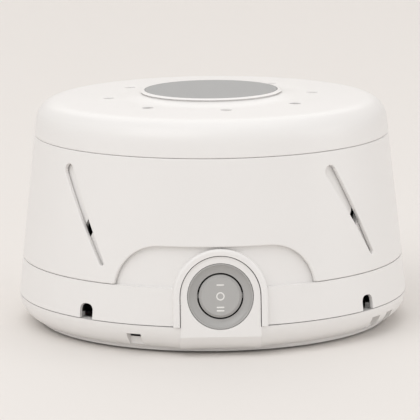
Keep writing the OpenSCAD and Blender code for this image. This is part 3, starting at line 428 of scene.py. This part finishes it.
def turned(
    profile: np.ndarray, columns: int = 144, span: tuple[float, float] | None = None
) -> tuple[np.ndarray, list[np.ndarray]]:
    """Carries a closed profile round the Z axis.

    A profile point at radius r and height z becomes the arc (r sin a, -r cos a, z).

    Args:
        profile: Radius and height of each point, in order, with the solid on the left.
        columns: Number of stations round the axis.
        span: First and last angle, or None for a whole turn.

    Returns:
        The points and the faces.
    """
    whole = span is None
    angle = np.linspace(*(span or (0, 2 * np.pi)), columns, endpoint=not whole)
    radius, height = profile[:, :1], profile[:, 1:]
    grid = np.stack(
        np.broadcast_arrays(radius * np.sin(angle), -radius * np.cos(angle), height), axis=-1
    )
    faces = [grid_faces(len(profile), columns, True, whole)]
    if not whole:
        first = np.arange(len(profile)) * columns
        faces += [first[None, :], first[None, ::-1] + columns - 1]
    return grid.reshape(-1, 3), faces


def joined(*pieces: tuple[np.ndarray, list[np.ndarray]]) -> tuple[np.ndarray, list[np.ndarray]]:
    """Puts the points and faces of several shapes into one.

    Args:
        pieces: Points and faces of each shape.

    Returns:
        All points and all faces.
    """
    starts = np.cumsum([0] + [len(points) for points, _ in pieces])
    faces = [f + start for (_, some), start in zip(pieces, starts) for f in some]
    return np.concatenate([points for points, _ in pieces]), faces


@dataclass
class Sheet:
    """A wall with openings, cut out flat and then bent to its place.

    The flat outline is filled with triangles. A point at distance d from a free edge is lowered by
    r - sqrt(r * r - (r - d) * (r - d)), which rounds that edge with radius r. The same net lies
    once on the wall's outer face and once on its inner face, and strips along the edges join them.
    """

    outline: np.ndarray
    openings: list[np.ndarray]
    bend: Callable[[np.ndarray, np.ndarray], np.ndarray]
    wall: float
    round_out: float = 0.35
    round_in: float = 0.2
    pitch: float = 2.6
    free: Callable[[np.ndarray], np.ndarray] | None = None

    # Depths of the rows along a free edge, as shares of the rounding: even steps of its arc and
    # one row beyond it.
    ROWS = np.append(1 - np.cos(np.radians([22.5, 45.0, 67.5, 90.0])), [1.45])
    ROW_SLACK = 0.96
    FIELD_GAP = 2.2
    FIELD_STEP = 0.87
    BLOCK = 400
    TINY = 1e-12
    WELD = 1e-6
    LEAST_AREA = 1e-9

    def edges(self) -> tuple[np.ndarray, np.ndarray]:
        """Lists the edges of the outline and of all openings.

        Returns:
            The first and the last points of the edges.
        """
        loops = [self.outline, *self.openings]
        return np.concatenate(loops), np.concatenate([np.roll(p, -1, axis=0) for p in loops])

    def gauge(self, points: np.ndarray) -> tuple[np.ndarray, np.ndarray, np.ndarray]:
        """Measures points against the edges, a block of points at a time.

        A point is inside if a level ray from it crosses the edges an odd number of times.

        Args:
            points: Flat points, one a row.

        Returns:
            The distance to the nearest free edge, to the nearest edge, and whether it is inside.
        """
        first, last = self.edges()
        along = last - first
        length = np.maximum((along**2).sum(axis=1), self.TINY)
        middle = (first + last) / 2
        open_edge = np.ones(len(first), bool) if self.free is None else self.free(middle)
        results = []
        for block in np.array_split(points, max(1, len(points) // self.BLOCK)):
            arm = block[:, None, :] - first[None]
            share = np.clip((arm * along).sum(axis=2) / length, 0, 1)
            gap = np.linalg.norm(arm - share[..., None] * along, axis=2)
            spans = (first[:, 1] > block[:, 1:]) != (last[:, 1] > block[:, 1:])
            rise = np.where(np.abs(along[:, 1]) < self.TINY, self.TINY, along[:, 1])
            cross = first[:, 0] + (block[:, 1:] - first[:, 1]) / rise * along[:, 0]
            inside = (spans & (cross > block[:, :1])).sum(axis=1) % 2 == 1
            results.append((gap[:, open_edge].min(axis=1), gap.min(axis=1), inside))
        return tuple(np.concatenate(parts) for parts in zip(*results))

    def rows(self, loop: np.ndarray) -> tuple[np.ndarray, np.ndarray]:
        """Places rows of points along the free edges of one loop, as deep as the rounding needs.

        Args:
            loop: Points of the outline or of an opening.

        Returns:
            The points, and the pairs of neighbours in a row.
        """
        along = np.roll(loop, -1, axis=0) - loop
        middle = loop + along / 2
        along /= np.linalg.norm(along, axis=1, keepdims=True)
        across = np.stack([-along[:, 1], along[:, 0]], axis=1)
        depth = self.round_out * np.concatenate([self.ROWS, -self.ROWS])
        grid = middle[None] + depth[:, None, None] * across[None]
        gap, _, inside = self.gauge(grid.reshape(-1, 2))
        wanted = np.repeat(np.abs(depth), len(loop))
        open_edge = np.ones(len(loop), bool) if self.free is None else self.free(middle)
        kept = (inside & (gap > self.ROW_SLACK * wanted)).reshape(len(depth), -1) & open_edge
        number = (np.cumsum(kept) - 1).reshape(kept.shape)
        pair = kept & np.roll(kept, -1, axis=1)
        links = np.stack([number[pair], np.roll(number, -1, axis=1)[pair]], axis=1)
        return grid[kept], links

    def field(self) -> np.ndarray:
        """Places a staggered grid of points away from the edges.

        Returns:
            The flat points.
        """
        low, high = self.outline.min(axis=0), self.outline.max(axis=0)
        x = np.arange(low[0], high[0], self.pitch)
        y = np.arange(low[1], high[1], self.pitch * self.FIELD_STEP)
        grid_x, grid_y = np.meshgrid(x, y)
        grid_x[1::2] += self.pitch / 2
        grid = np.stack([grid_x.ravel(), grid_y.ravel()], axis=1)
        _, gap, inside = self.gauge(grid)
        return grid[inside & (gap > self.FIELD_GAP * self.round_out)]

    def net(self) -> tuple[np.ndarray, np.ndarray]:
        """Fills the flat outline with triangles.

        Returns:
            The flat points and the triangles, which turn to the left.
        """
        points, links, count = [], [], 0
        for loop in (self.outline, *self.openings):
            index = np.arange(len(loop))
            row_points, row_links = self.rows(loop)
            points += [loop, row_points]
            links += [np.stack([index, np.roll(index, -1)], axis=1) + count,
                      row_links + count + len(loop)]
            count += len(loop) + len(row_points)
        points.append(self.field())
        result = delaunay_2d_cdt(
            [Vector(p) for p in np.concatenate(points).tolist()],
            np.concatenate(links).tolist(), [], 0, self.WELD)
        flat = np.array([tuple(v) for v in result[0]])
        triangles = np.array([f for f in result[2] if len(f) == 3])
        _, _, inside = self.gauge(flat[triangles].mean(axis=1))
        a, b, c = (flat[triangles[:, k]] for k in range(3))
        area = (b[:, 0] - a[:, 0]) * (c[:, 1] - a[:, 1]) - (b[:, 1] - a[:, 1]) * (c[:, 0] - a[:, 0])
        kept = inside & (np.abs(area) > self.LEAST_AREA)
        triangles, area = triangles[kept], area[kept]
        triangles[area < 0] = triangles[area < 0][:, ::-1]
        return flat, triangles

    def make(self) -> tuple[np.ndarray, list[np.ndarray]]:
        """Cuts, rounds and bends the wall.

        Returns:
            The points and the faces of the closed wall.
        """
        flat, triangles = self.net()
        gap, _, _ = self.gauge(flat)
        drop = [
            r - np.sqrt(np.maximum(r * r - (r - np.minimum(gap, r)) ** 2, 0))
            for r in (self.round_out, self.round_in)
        ]
        outer = self.bend(flat, -drop[0])
        inner = self.bend(flat, drop[1] - self.wall)
        pairs = np.concatenate([triangles[:, [k, (k + 1) % 3]] for k in range(3)])
        count = len(flat)
        code = np.sort(pairs, axis=1) @ np.array([count, 1])
        _, where, times = np.unique(code, return_index=True, return_counts=True)
        rim = pairs[where[times == 1]]
        if self.free is not None:
            rim = rim[self.free(flat[rim].mean(axis=1))]
        strip = np.stack([rim[:, 1], rim[:, 0], rim[:, 0] + count, rim[:, 1] + count], axis=1)
        points = np.concatenate([outer, inner])
        return points, [triangles, triangles[:, ::-1] + count, strip]


@dataclass(frozen=True)
class Outline:
    """Outline of the body, in millimetres: leaning wall, rounded shoulder and shallow dome."""

    widest_r: float = 73.0
    lean: float = 0.11
    pan_top: float = 11.2
    band_top: float = 24.9
    collar_top: float = 70.9
    crown: float = 84.85
    dome_r: float = 1500.0
    shoulder_r: float = 8.3

    @property
    def lean_angle(self) -> float:
        """Angle that the wall leans in by."""
        return math.atan(self.lean)

    def wall_r(self, z: np.ndarray | float, inset: float = 0.0) -> np.ndarray | float:
        """Radius of the wall at height z, moved in by inset square to the wall."""
        return self.widest_r - self.lean * (z - self.pan_top) - inset / math.cos(self.lean_angle)

    def dome_z(self, r: np.ndarray | float) -> np.ndarray | float:
        """Height of the dome at radius r."""
        return self.crown - self.dome_r + np.sqrt(self.dome_r**2 - r * r)

    def shoulder(self) -> tuple[float, float]:
        """Finds the middle of the shoulder's arc, tangent to the wall and to the dome.

        Returns:
            Its radius and height.
        """
        base = self.crown - self.dome_r
        foot = self.wall_r(0.0, self.shoulder_r)
        reach = self.dome_r - self.shoulder_r
        half = foot * self.lean + base
        rest = foot * foot + base * base - reach * reach
        slope = 1 + self.lean**2
        z = (half + math.sqrt(half * half - slope * rest)) / slope
        return self.wall_r(z, self.shoulder_r), z

    def crest(self, inner_r: float, foot_z: float) -> np.ndarray:
        """Samples the outline from the dome over the shoulder down the wall.

        Args:
            inner_r: Radius where the line begins.
            foot_z: Height where it ends.

        Returns:
            Radius, height and the two parts of the outward normal of each sample.
        """
        mid_r, mid_z = self.shoulder()
        base = self.crown - self.dome_r
        end = math.atan2(mid_r, mid_z - base)
        dome = np.linspace(inner_r / self.dome_r, end, 60)
        arc = np.linspace(end, math.pi / 2 - self.lean_angle, 40)[1:]
        wall_top = mid_z + self.shoulder_r * math.sin(self.lean_angle)
        wall_z = np.linspace(wall_top, foot_z, 12)[1:]
        level = np.full(len(wall_z), math.pi / 2 - self.lean_angle)
        angle = np.concatenate([dome, arc, level])
        radius = np.concatenate([
            self.dome_r * np.sin(dome), mid_r + self.shoulder_r * np.sin(arc), self.wall_r(wall_z)])
        height = np.concatenate([
            base + self.dome_r * np.cos(dome), mid_z + self.shoulder_r * np.cos(arc), wall_z])
        return np.stack([radius, height, np.sin(angle), np.cos(angle)], axis=1)


def polar_bend(line: np.ndarray, anchor: float) -> tuple[Callable, np.ndarray]:
    """Prepares the bending of a flat ring into a surface of revolution.

    The flat radius is the length along the line, set equal to the line's own radius at the anchor.

    Args:
        line: Radius, height and normal of samples from the middle outwards.
        anchor: Radius at which flat and bent radius agree.

    Returns:
        The bending function, and the flat radius of each sample.
    """
    step = np.linalg.norm(np.diff(line[:, :2], axis=0), axis=1)
    flat_r = np.concatenate([[0], np.cumsum(step)])
    flat_r += anchor - np.interp(anchor, line[:, 0], flat_r)

    def bend(flat: np.ndarray, lift: np.ndarray) -> np.ndarray:
        """Bends flat points, each lifted off the surface by its lift.

        Args:
            flat: Flat points, one a row.
            lift: How far each point lies off the surface.

        Returns:
            The bent points.
        """
        reach = np.linalg.norm(flat, axis=1)
        way = flat / reach[:, None]
        radius, height, out, up = (np.interp(reach, flat_r, line[:, k]) for k in range(4))
        return np.concatenate(
            [way * (radius + lift * out)[:, None], (height + lift * up)[:, None]], axis=1)

    return bend, flat_r


def circle(middle: tuple[float, float], radius: float, count: int) -> np.ndarray:
    """Samples a circle, turning to the left."""
    angle = np.linspace(0, 2 * np.pi, count, endpoint=False)
    return np.array(middle) + radius * np.stack([np.cos(angle), np.sin(angle)], axis=1)


def tapered_slot(p: tuple, r_p: float, q: tuple, r_q: float, step: float = 0.5) -> np.ndarray:
    """Samples the outline of a slot with round ends of different size.

    Args:
        p: Middle of the first end.
        r_p: Radius of the first end.
        q: Middle of the second end.
        r_q: Radius of the second end.
        step: Spacing of the samples along the sides.

    Returns:
        The outline's points, one a row.
    """
    p, q = np.array(p, float), np.array(q, float)
    run = np.linalg.norm(q - p)
    turn = math.atan2(q[1] - p[1], q[0] - p[0])
    open_angle = math.acos((r_p - r_q) / run)
    far = np.linspace(turn - open_angle, turn + open_angle, 15)
    near = np.linspace(turn + open_angle, turn + 2 * math.pi - open_angle, 25)
    end_q = q + r_q * np.stack([np.cos(far), np.sin(far)], axis=1)
    end_p = p + r_p * np.stack([np.cos(near), np.sin(near)], axis=1)
    share = np.linspace(0, 1, int(run / step))[1:-1, None]
    left = end_q[-1] + share * (end_p[0] - end_q[-1])
    right = end_p[-1] + share * (end_q[0] - end_p[-1])
    return np.concatenate([end_q, left, end_p, right])


# ------------------------------------------------------------------------------- pieces


BODY = Outline()
Dressed = list[tuple[bpy.types.Object, Finish]]


def spaced(first: tuple[float, float], last: tuple[float, float], step: float) -> np.ndarray:
    """Samples a straight line evenly, without its last point."""
    count = max(1, round(math.dist(first, last) / step))
    return np.linspace(first, last, count, endpoint=False)


@dataclass
class Collar:
    """Slotted collar: a leaning ring with a window for the switch tower and four slanted slots."""

    turn: float = math.radians(-1.5)
    slot_turn: float = math.radians(2.1)
    wall: float = 1.5
    window_top: float = 39.6
    window_half: float = math.radians(16.5)
    window_corner_r: float = 17.5
    slot_half_run: float = 9.5
    slot_head: tuple[float, float] = (63.4, 2.35)
    slot_tail: tuple[float, float] = (31.9, 0.9)
    flat_r: float = 70.0
    foot_gap: float = 0.02
    head_gap: float = 0.06
    edge_r: float = 0.4
    long_step: float = 2.0
    window_step: float = 1.0
    seam_step: float = 1.2
    seam_slack: float = 0.01

    def lay_out(self, middle: float, across: np.ndarray, z: np.ndarray) -> np.ndarray:
        """Lays points of a straight cut through the wall out flat.

        A point that lies across the cut's middle by x is at the angle asin(x / r) from it, and
        its flat place is that angle times a fixed radius.

        Args:
            middle: Angle of the cut's middle.
            across: Distance across the cut's direction.
            z: Height.

        Returns:
            The flat points.
        """
        angle = middle + np.arcsin(across / BODY.wall_r(z))
        return np.stack([angle * self.flat_r, z], axis=1)

    def bend(self, flat: np.ndarray, lift: np.ndarray) -> np.ndarray:
        """Bends flat points round the axis: (r sin a, -r cos a, z), with r lifted off the wall.

        Args:
            flat: Flat points, one a row.
            lift: How far each point lies off the wall's outer face.

        Returns:
            The bent points.
        """
        angle = flat[:, 0] / self.flat_r + self.turn
        radius = BODY.wall_r(flat[:, 1]) + lift / math.cos(BODY.lean_angle)
        return np.stack([radius * np.sin(angle), -radius * np.cos(angle), flat[:, 1]], axis=1)

    def outline(self) -> np.ndarray:
        """Draws the flat outline: foot, window, foot, rear seam, top, rear seam.

        Returns:
            The outline's points, turning to the left.
        """
        low, high = BODY.band_top + self.foot_gap, BODY.collar_top - self.head_gap
        reach = math.pi * self.flat_r
        centre_z = self.window_top - self.window_corner_r
        turn = np.linspace(math.asin((low - centre_z) / self.window_corner_r), math.pi / 2, 40)
        across = self.window_corner_r * np.cos(turn)
        rise = centre_z + self.window_corner_r * np.sin(turn)
        right = self.lay_out(self.window_half, across, rise)[::-1]
        left = right[::-1] * (-1, 1)
        return np.concatenate([
            spaced((-reach, low), tuple(left[0]), self.long_step), left[:-1],
            spaced(tuple(left[-1]), tuple(right[0]), self.window_step), right[:-1],
            spaced(tuple(right[-1]), (reach, low), self.long_step),
            spaced((reach, low), (reach, high), self.seam_step),
            spaced((reach, high), (-reach, high), self.long_step),
            spaced((-reach, high), (-reach, low), self.seam_step),
        ])

    def make(self) -> Dressed:
        """Builds the collar.

        Returns:
            The piece with its finish.
        """
        head, tail = self.slot_head, self.slot_tail
        slot = tapered_slot((-self.slot_half_run, head[0]), head[1],
                            (self.slot_half_run, tail[0]), tail[1])
        slots = [
            self.lay_out(math.radians(quarter) + self.slot_turn, slot[:, 0], slot[:, 1])
            for quarter in (-135, -45, 45, 135)
        ]
        edge = math.pi * self.flat_r - self.seam_slack
        wall = Sheet(self.outline(), slots, self.bend, self.wall, round_out=self.edge_r,
                     free=lambda middle: np.abs(middle[:, 0]) < edge)
        piece = put_in_scene("collar_skin", *wall.make(), "collar", Finish.SHELL_WHITE)
        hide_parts("collar")
        return [(piece, Finish.SHELL_WHITE)]


@dataclass
class Cap:
    """Cap: a dome with a ring of holes, a cove that lifts the emblem, and a hub with a stop key."""

    turn: float = math.radians(6)
    wall: float = 1.5
    pad_z: float = 85.668
    pad_inner_r: float = 25.95
    pad_foot_r: float = 36.0
    cove_r: float = 36.725
    cove_sink: float = 0.1
    cove_stop: float = 0.6
    foot_gap: float = 0.12
    holes: int = 8
    hole_ring: float = 38.6
    hole_r: float = 2.1
    hub_foot: float = 75.87
    hub_top: float = 82.27
    hub_r: float = 8.05
    disc_r: float = 24.85
    disc_gap: float = 0.02
    neck_depth: float = 0.55
    bore_r: float = 5.1
    seat_r: float = 7.0
    key_half: float = math.radians(6)
    key_r: float = 9.55
    key_height: float = 3.0
    edge_r: float = 0.3

    def line(self) -> np.ndarray:
        """Samples the outline from the emblem's ring over the cove and the dome down to the foot.

        The cove is an arc that is hollow upwards: z = middle - sqrt(R * R - (foot - r) ** 2).

        Returns:
            Radius, height and the outward normal of each sample.
        """
        middle = BODY.dome_z(self.pad_foot_r) + self.cove_r - self.cove_sink
        reach = math.sqrt(self.cove_r**2 - (middle - self.pad_z) ** 2)
        out = np.linspace(self.pad_foot_r - reach, self.pad_foot_r - self.cove_stop, 24)
        across = self.pad_foot_r - out
        rise = np.sqrt(self.cove_r**2 - across**2)
        cove = np.stack([out, middle - rise, across / self.cove_r, rise / self.cove_r], axis=1)
        flat = np.array([[self.pad_inner_r, self.pad_z, 0, 1]])
        crest = BODY.crest(self.pad_foot_r + self.cove_stop, BODY.collar_top + self.foot_gap)
        return np.concatenate([flat, cove, crest])

    def skin(self) -> tuple[np.ndarray, list[np.ndarray]]:
        """Builds the dome with its holes.

        Returns:
            The points and the faces.
        """
        bend, flat_r = polar_bend(self.line(), self.hole_ring)
        around = self.turn + 2 * math.pi * np.arange(self.holes) / self.holes
        holes = [
            circle((self.hole_ring * math.sin(a), -self.hole_ring * math.cos(a)), self.hole_r, 40)
            for a in around
        ]
        sheet = Sheet(circle((0, 0), flat_r[-1], 300), [circle((0, 0), flat_r[0], 150), *holes],
                      bend, self.wall, round_out=self.edge_r)
        return sheet.make()

    def hub(self) -> tuple[np.ndarray, list[np.ndarray]]:
        """Builds the plate under the emblem with the hub that turns on the post.

        A step at the plate's edge takes the neck of the emblem's ring.

        Returns:
            The points and the faces.
        """
        roof, top = self.pad_z - self.wall, self.pad_z - self.disc_gap
        step, plate_r = self.pad_z - self.neck_depth, self.pad_inner_r - self.disc_gap
        return turned(soften([
            (self.bore_r, self.hub_foot, 0.3), (self.hub_r, self.hub_foot, 0.3),
            (self.hub_r, roof, 0.5), (plate_r, roof, 0.1), (plate_r, step, 0.05),
            (self.disc_r, step, 0.05), (self.disc_r, top, 0.1), (self.seat_r, top, 0.2),
            (self.seat_r, self.hub_top, 0.3), (self.bore_r, self.hub_top, 0.2),
        ]))

    def key(self) -> tuple[np.ndarray, list[np.ndarray]]:
        """Builds the stop key at the rear of the hub, a rounded bar carried through a small angle.

        It starts inside the hub, and its foot lies just above the hub's.

        Returns:
            The points and the faces.
        """
        inner, foot, top = self.hub_r - 0.3, self.hub_foot + 0.01, self.hub_foot + self.key_height
        bar = soften([
            (inner, foot, 0.05), (self.key_r, foot, 0.3),
            (self.key_r, top, 0.3), (inner, top, 0.05),
        ])
        middle = math.pi + self.turn
        return turned(bar, 12, (middle - self.key_half, middle + self.key_half))

    def make(self) -> Dressed:
        """Builds the cap.

        Returns:
            The piece with its finish.
        """
        shape = joined(self.skin(), self.hub(), self.key())
        piece = put_in_scene("cap_skin", *shape, "cap", Finish.SHELL_WHITE)
        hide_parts("cap")
        return [(piece, Finish.SHELL_WHITE)]


@dataclass
class SwitchMarks:
    """Generic marks on the rocker button: one bar, a ring and two bars, as thin raised ink."""

    height: float = 22.1
    face_depth: float = 0.7
    bar_width: float = 2.8
    bar_height: float = 0.52
    ink: float = 0.05
    ring_r: float = 1.28
    ring_half_width: float = 0.23
    one_at: float = 4.05
    two_at: tuple[float, float] = (-3.95, -5.15)

    def place(self, x: np.ndarray, up: np.ndarray, out: np.ndarray) -> np.ndarray:
        """Carries points from the leaning plane of the button to the machine's frame.

        Args:
            x: Distance to the right of the button's middle.
            up: Distance above the button's middle, in the leaning plane.
            out: Distance out of the body's wall.

        Returns:
            The carried points.
        """
        sin, cos = math.sin(BODY.lean_angle), math.cos(BODY.lean_angle)
        y = -BODY.wall_r(self.height) + up * sin - out * cos
        return np.stack([x, y, self.height + up * cos + out * sin], axis=-1)

    def bar(self, middle: float) -> tuple[np.ndarray, list[np.ndarray]]:
        """Builds a flat bar with round ends.

        Its outline, scaled by shares from nearly nought to one, gives rings from the middle to the
        rim. The outer rings lie lower, so that the rim is rounded, and the last one is the foot of
        the side.

        Args:
            middle: Height of the bar's middle above the button's middle.

        Returns:
            The points and the faces.
        """
        half_w, half_h = self.bar_width / 2, self.bar_height / 2
        straight = half_w - half_h
        turn = np.linspace(-math.pi / 2, math.pi / 2, 9)
        side = np.stack([straight + half_h * np.cos(turn), half_h * np.sin(turn)], axis=1)
        rim = np.concatenate([side, side * -1])
        share = np.array([0.02, 0.5, 0.85, 1.0, 1.0])[:, None]
        level = np.array([1.0, 1.0, 0.9, 0.4, -1.0])[:, None] * self.ink - self.face_depth
        x = share * rim[:, 0] + 0 * level
        up = middle + share * rim[:, 1] + 0 * level
        grid = self.place(x, up, np.broadcast_to(level, x.shape))
        columns = len(rim)
        faces = grid_faces(len(share), columns, False, True)[:, ::-1]
        top = np.arange(columns)[None, :]
        foot = (len(share) - 1) * columns + np.arange(columns)[None, ::-1]
        return grid.reshape(-1, 3), [faces, top, foot]

    def ring(self) -> tuple[np.ndarray, list[np.ndarray]]:
        """Builds the ring: a low rounded profile carried round the button's middle.

        Returns:
            The points and the faces.
        """
        turn = np.linspace(0, 2 * math.pi, 16, endpoint=False)
        radius = self.ring_r + self.ring_half_width * np.cos(turn)
        level = self.ink * np.sin(turn) - self.face_depth
        angle = np.linspace(0, 2 * math.pi, 48, endpoint=False)
        x = radius[:, None] * np.cos(angle)
        up = radius[:, None] * np.sin(angle)
        grid = self.place(x, up, np.broadcast_to(level[:, None], x.shape))
        return grid.reshape(-1, 3), [grid_faces(len(turn), len(angle), True, True)]

    def make(self) -> Dressed:
        """Builds the marks.

        Returns:
            The pieces with their finish.
        """
        shapes = {
            "mark_one": self.bar(self.one_at),
            "mark_off": self.ring(),
            "mark_two": joined(*map(self.bar, self.two_at)),
        }
        return [
            (put_in_scene(name, *shape, "rocker", Finish.SHELL_WHITE), Finish.MARK_INK)
            for name, shape in shapes.items()
        ]


# ------------------------------------------------------------------------------- studio


@dataclass(frozen=True)
class ViewPoint:
    """Where the camera stands, in metres, and how it looks."""

    distance: float = 1.150
    height: float = 0.2478
    azimuth: float = math.radians(-2.15)
    pitch: float = math.radians(10.217)
    yaw: float = math.radians(-0.04)
    roll: float = math.radians(-0.552)
    focal_px: float = 3093.15

    def axes(self) -> tuple[Vector, Vector, Vector]:
        """Works out the directions of the view.

        The level forward direction is turned by the yaw, tipped down by the pitch, and the frame
        is then rolled round it.

        Returns:
            The directions to the right, up and backwards.
        """
        level = Vector((math.sin(self.yaw), math.cos(self.yaw), 0))
        right = Vector((math.cos(self.yaw), -math.sin(self.yaw), 0))
        down = Vector((0, 0, -1))
        forward = math.cos(self.pitch) * level + math.sin(self.pitch) * down
        up = math.sin(self.pitch) * level - math.cos(self.pitch) * down
        right_rolled = math.cos(self.roll) * right + math.sin(self.roll) * up
        up_rolled = math.cos(self.roll) * up - math.sin(self.roll) * right
        return right_rolled, up_rolled, -forward

    def make(self) -> bpy.types.Object:
        """Builds the camera.

        Returns:
            The camera object.
        """
        turn = Matrix.Rotation(self.azimuth, 3, "Z")
        right, up, back = (turn @ v for v in self.axes())
        place = turn @ Vector((0, -self.distance, self.height))
        data = bpy.data.cameras.new("view")
        data.sensor_width = SENSOR_MM
        data.lens = self.focal_px / IMAGE_SIDE * SENSOR_MM
        data.clip_end = 20.0
        camera = bpy.data.objects.new("view", data)
        bpy.context.scene.collection.objects.link(camera)
        basis = Matrix((right, up, back)).transposed().to_4x4()
        camera.matrix_world = Matrix.Translation(place) @ basis
        bpy.context.scene.camera = camera
        return camera


@dataclass(frozen=True)
class Softbox:
    """A square area lamp that points at the machine."""

    AIM_Z: ClassVar[float] = 0.04

    name: str
    place: tuple[float, float, float]
    side: float
    power: float

    def make(self) -> None:
        """Builds the lamp."""
        data = bpy.data.lights.new(self.name, "AREA")
        data.shape = "SQUARE"
        data.size = self.side
        data.energy = self.power
        lamp = bpy.data.objects.new(self.name, data)
        bpy.context.scene.collection.objects.link(lamp)
        aim = Vector((0, 0, self.AIM_Z)) - Vector(self.place)
        turn = aim.to_track_quat("-Z", "Y").to_matrix().to_4x4()
        lamp.matrix_world = Matrix.Translation(Vector(self.place)) @ turn


class Studio:
    """Floor, backdrop, lamps, world and camera."""

    FLOOR = linear(233, 229, 225)
    FLOOR_ROUGHNESS = 0.9
    FLOOR_SPECULAR = 0.1
    SKY = (0.90, 0.89, 0.885)
    SKY_STRENGTH = 0.76
    BEND_R = 0.8
    BEND_Y = 1.6
    HALF_WIDTH = 4.0
    LAMPS = (
        Softbox("key", (-0.9, -1.0, 1.6), 1.6, 12.6),
        Softbox("side", (1.6, -0.3, 0.5), 1.0, 3.7),
        Softbox("front", (0.2, -1.5, 0.3), 1.0, 0.7),
        Softbox("top", (0.1, 0.2, 1.8), 1.4, 3.4),
        Softbox("back", (0.0, 1.6, 1.4), 1.6, 6.0),
    )

    def sweep(self) -> bpy.types.Object:
        """Builds the floor that curves up into a backdrop.

        The profile runs level towards +Y, turns up on a quarter circle and then goes straight up;
        it is carried sideways along X.

        Returns:
            The sweep object.
        """
        turn = np.linspace(0, np.pi / 2, 25)
        flat_y = np.array([-3.0, -1.0, 0.0, 1.0])
        bend_y = self.BEND_Y + self.BEND_R * np.sin(turn)
        y = np.concatenate([flat_y, bend_y, [self.BEND_Y + self.BEND_R]])
        z = np.concatenate([flat_y * 0, self.BEND_R * (1 - np.cos(turn)), [self.HALF_WIDTH]])
        x = np.linspace(-self.HALF_WIDTH, self.HALF_WIDTH, 9)
        grid = np.stack(np.broadcast_arrays(x[None, :], y[:, None], z[:, None]), axis=-1)
        faces = grid_faces(len(y), len(x), False, False)
        mesh = bpy.data.meshes.new("sweep")
        mesh.from_pydata(grid.reshape(-1, 3).tolist(), [], faces.tolist())
        mesh.polygons.foreach_set("use_smooth", np.ones(len(faces), bool))
        floor = bpy.data.objects.new("sweep", mesh)
        bpy.context.scene.collection.objects.link(floor)
        material = bpy.data.materials.new("studio_paper")
        material.use_nodes = True
        shader = material.node_tree.nodes["Principled BSDF"]
        shader.inputs["Base Color"].default_value = (*self.FLOOR, 1.0)
        shader.inputs["Roughness"].default_value = self.FLOOR_ROUGHNESS
        shader.inputs["Specular IOR Level"].default_value = self.FLOOR_SPECULAR
        mesh.materials.append(material)
        return floor

    def world(self) -> None:
        """Sets the even light from all round."""
        world = bpy.data.worlds.new("studio")
        bpy.context.scene.world = world
        world.use_nodes = True
        sky = world.node_tree.nodes["Background"]
        sky.inputs["Color"].default_value = (*self.SKY, 1.0)
        sky.inputs["Strength"].default_value = self.SKY_STRENGTH

    def make(self) -> None:
        """Builds the whole studio."""
        self.sweep()
        self.world()
        for lamp in self.LAMPS:
            lamp.make()
        ViewPoint().make()
        bpy.context.scene.view_settings.view_transform = "Standard"


# ------------------------------------------------------------------------------- main


def main() -> None:
    """Builds the studio and dresses the machine."""
    logging.basicConfig(level=logging.INFO, format="%(name)s: %(message)s")
    Studio().make()
    materials = make_materials()
    dress_nodes(materials)
    for assembly in (Collar(), Cap(), SwitchMarks()):
        for piece, slot in assembly.make():
            piece.data.materials.append(materials[slot])


if __name__ == "__main__":
    main()
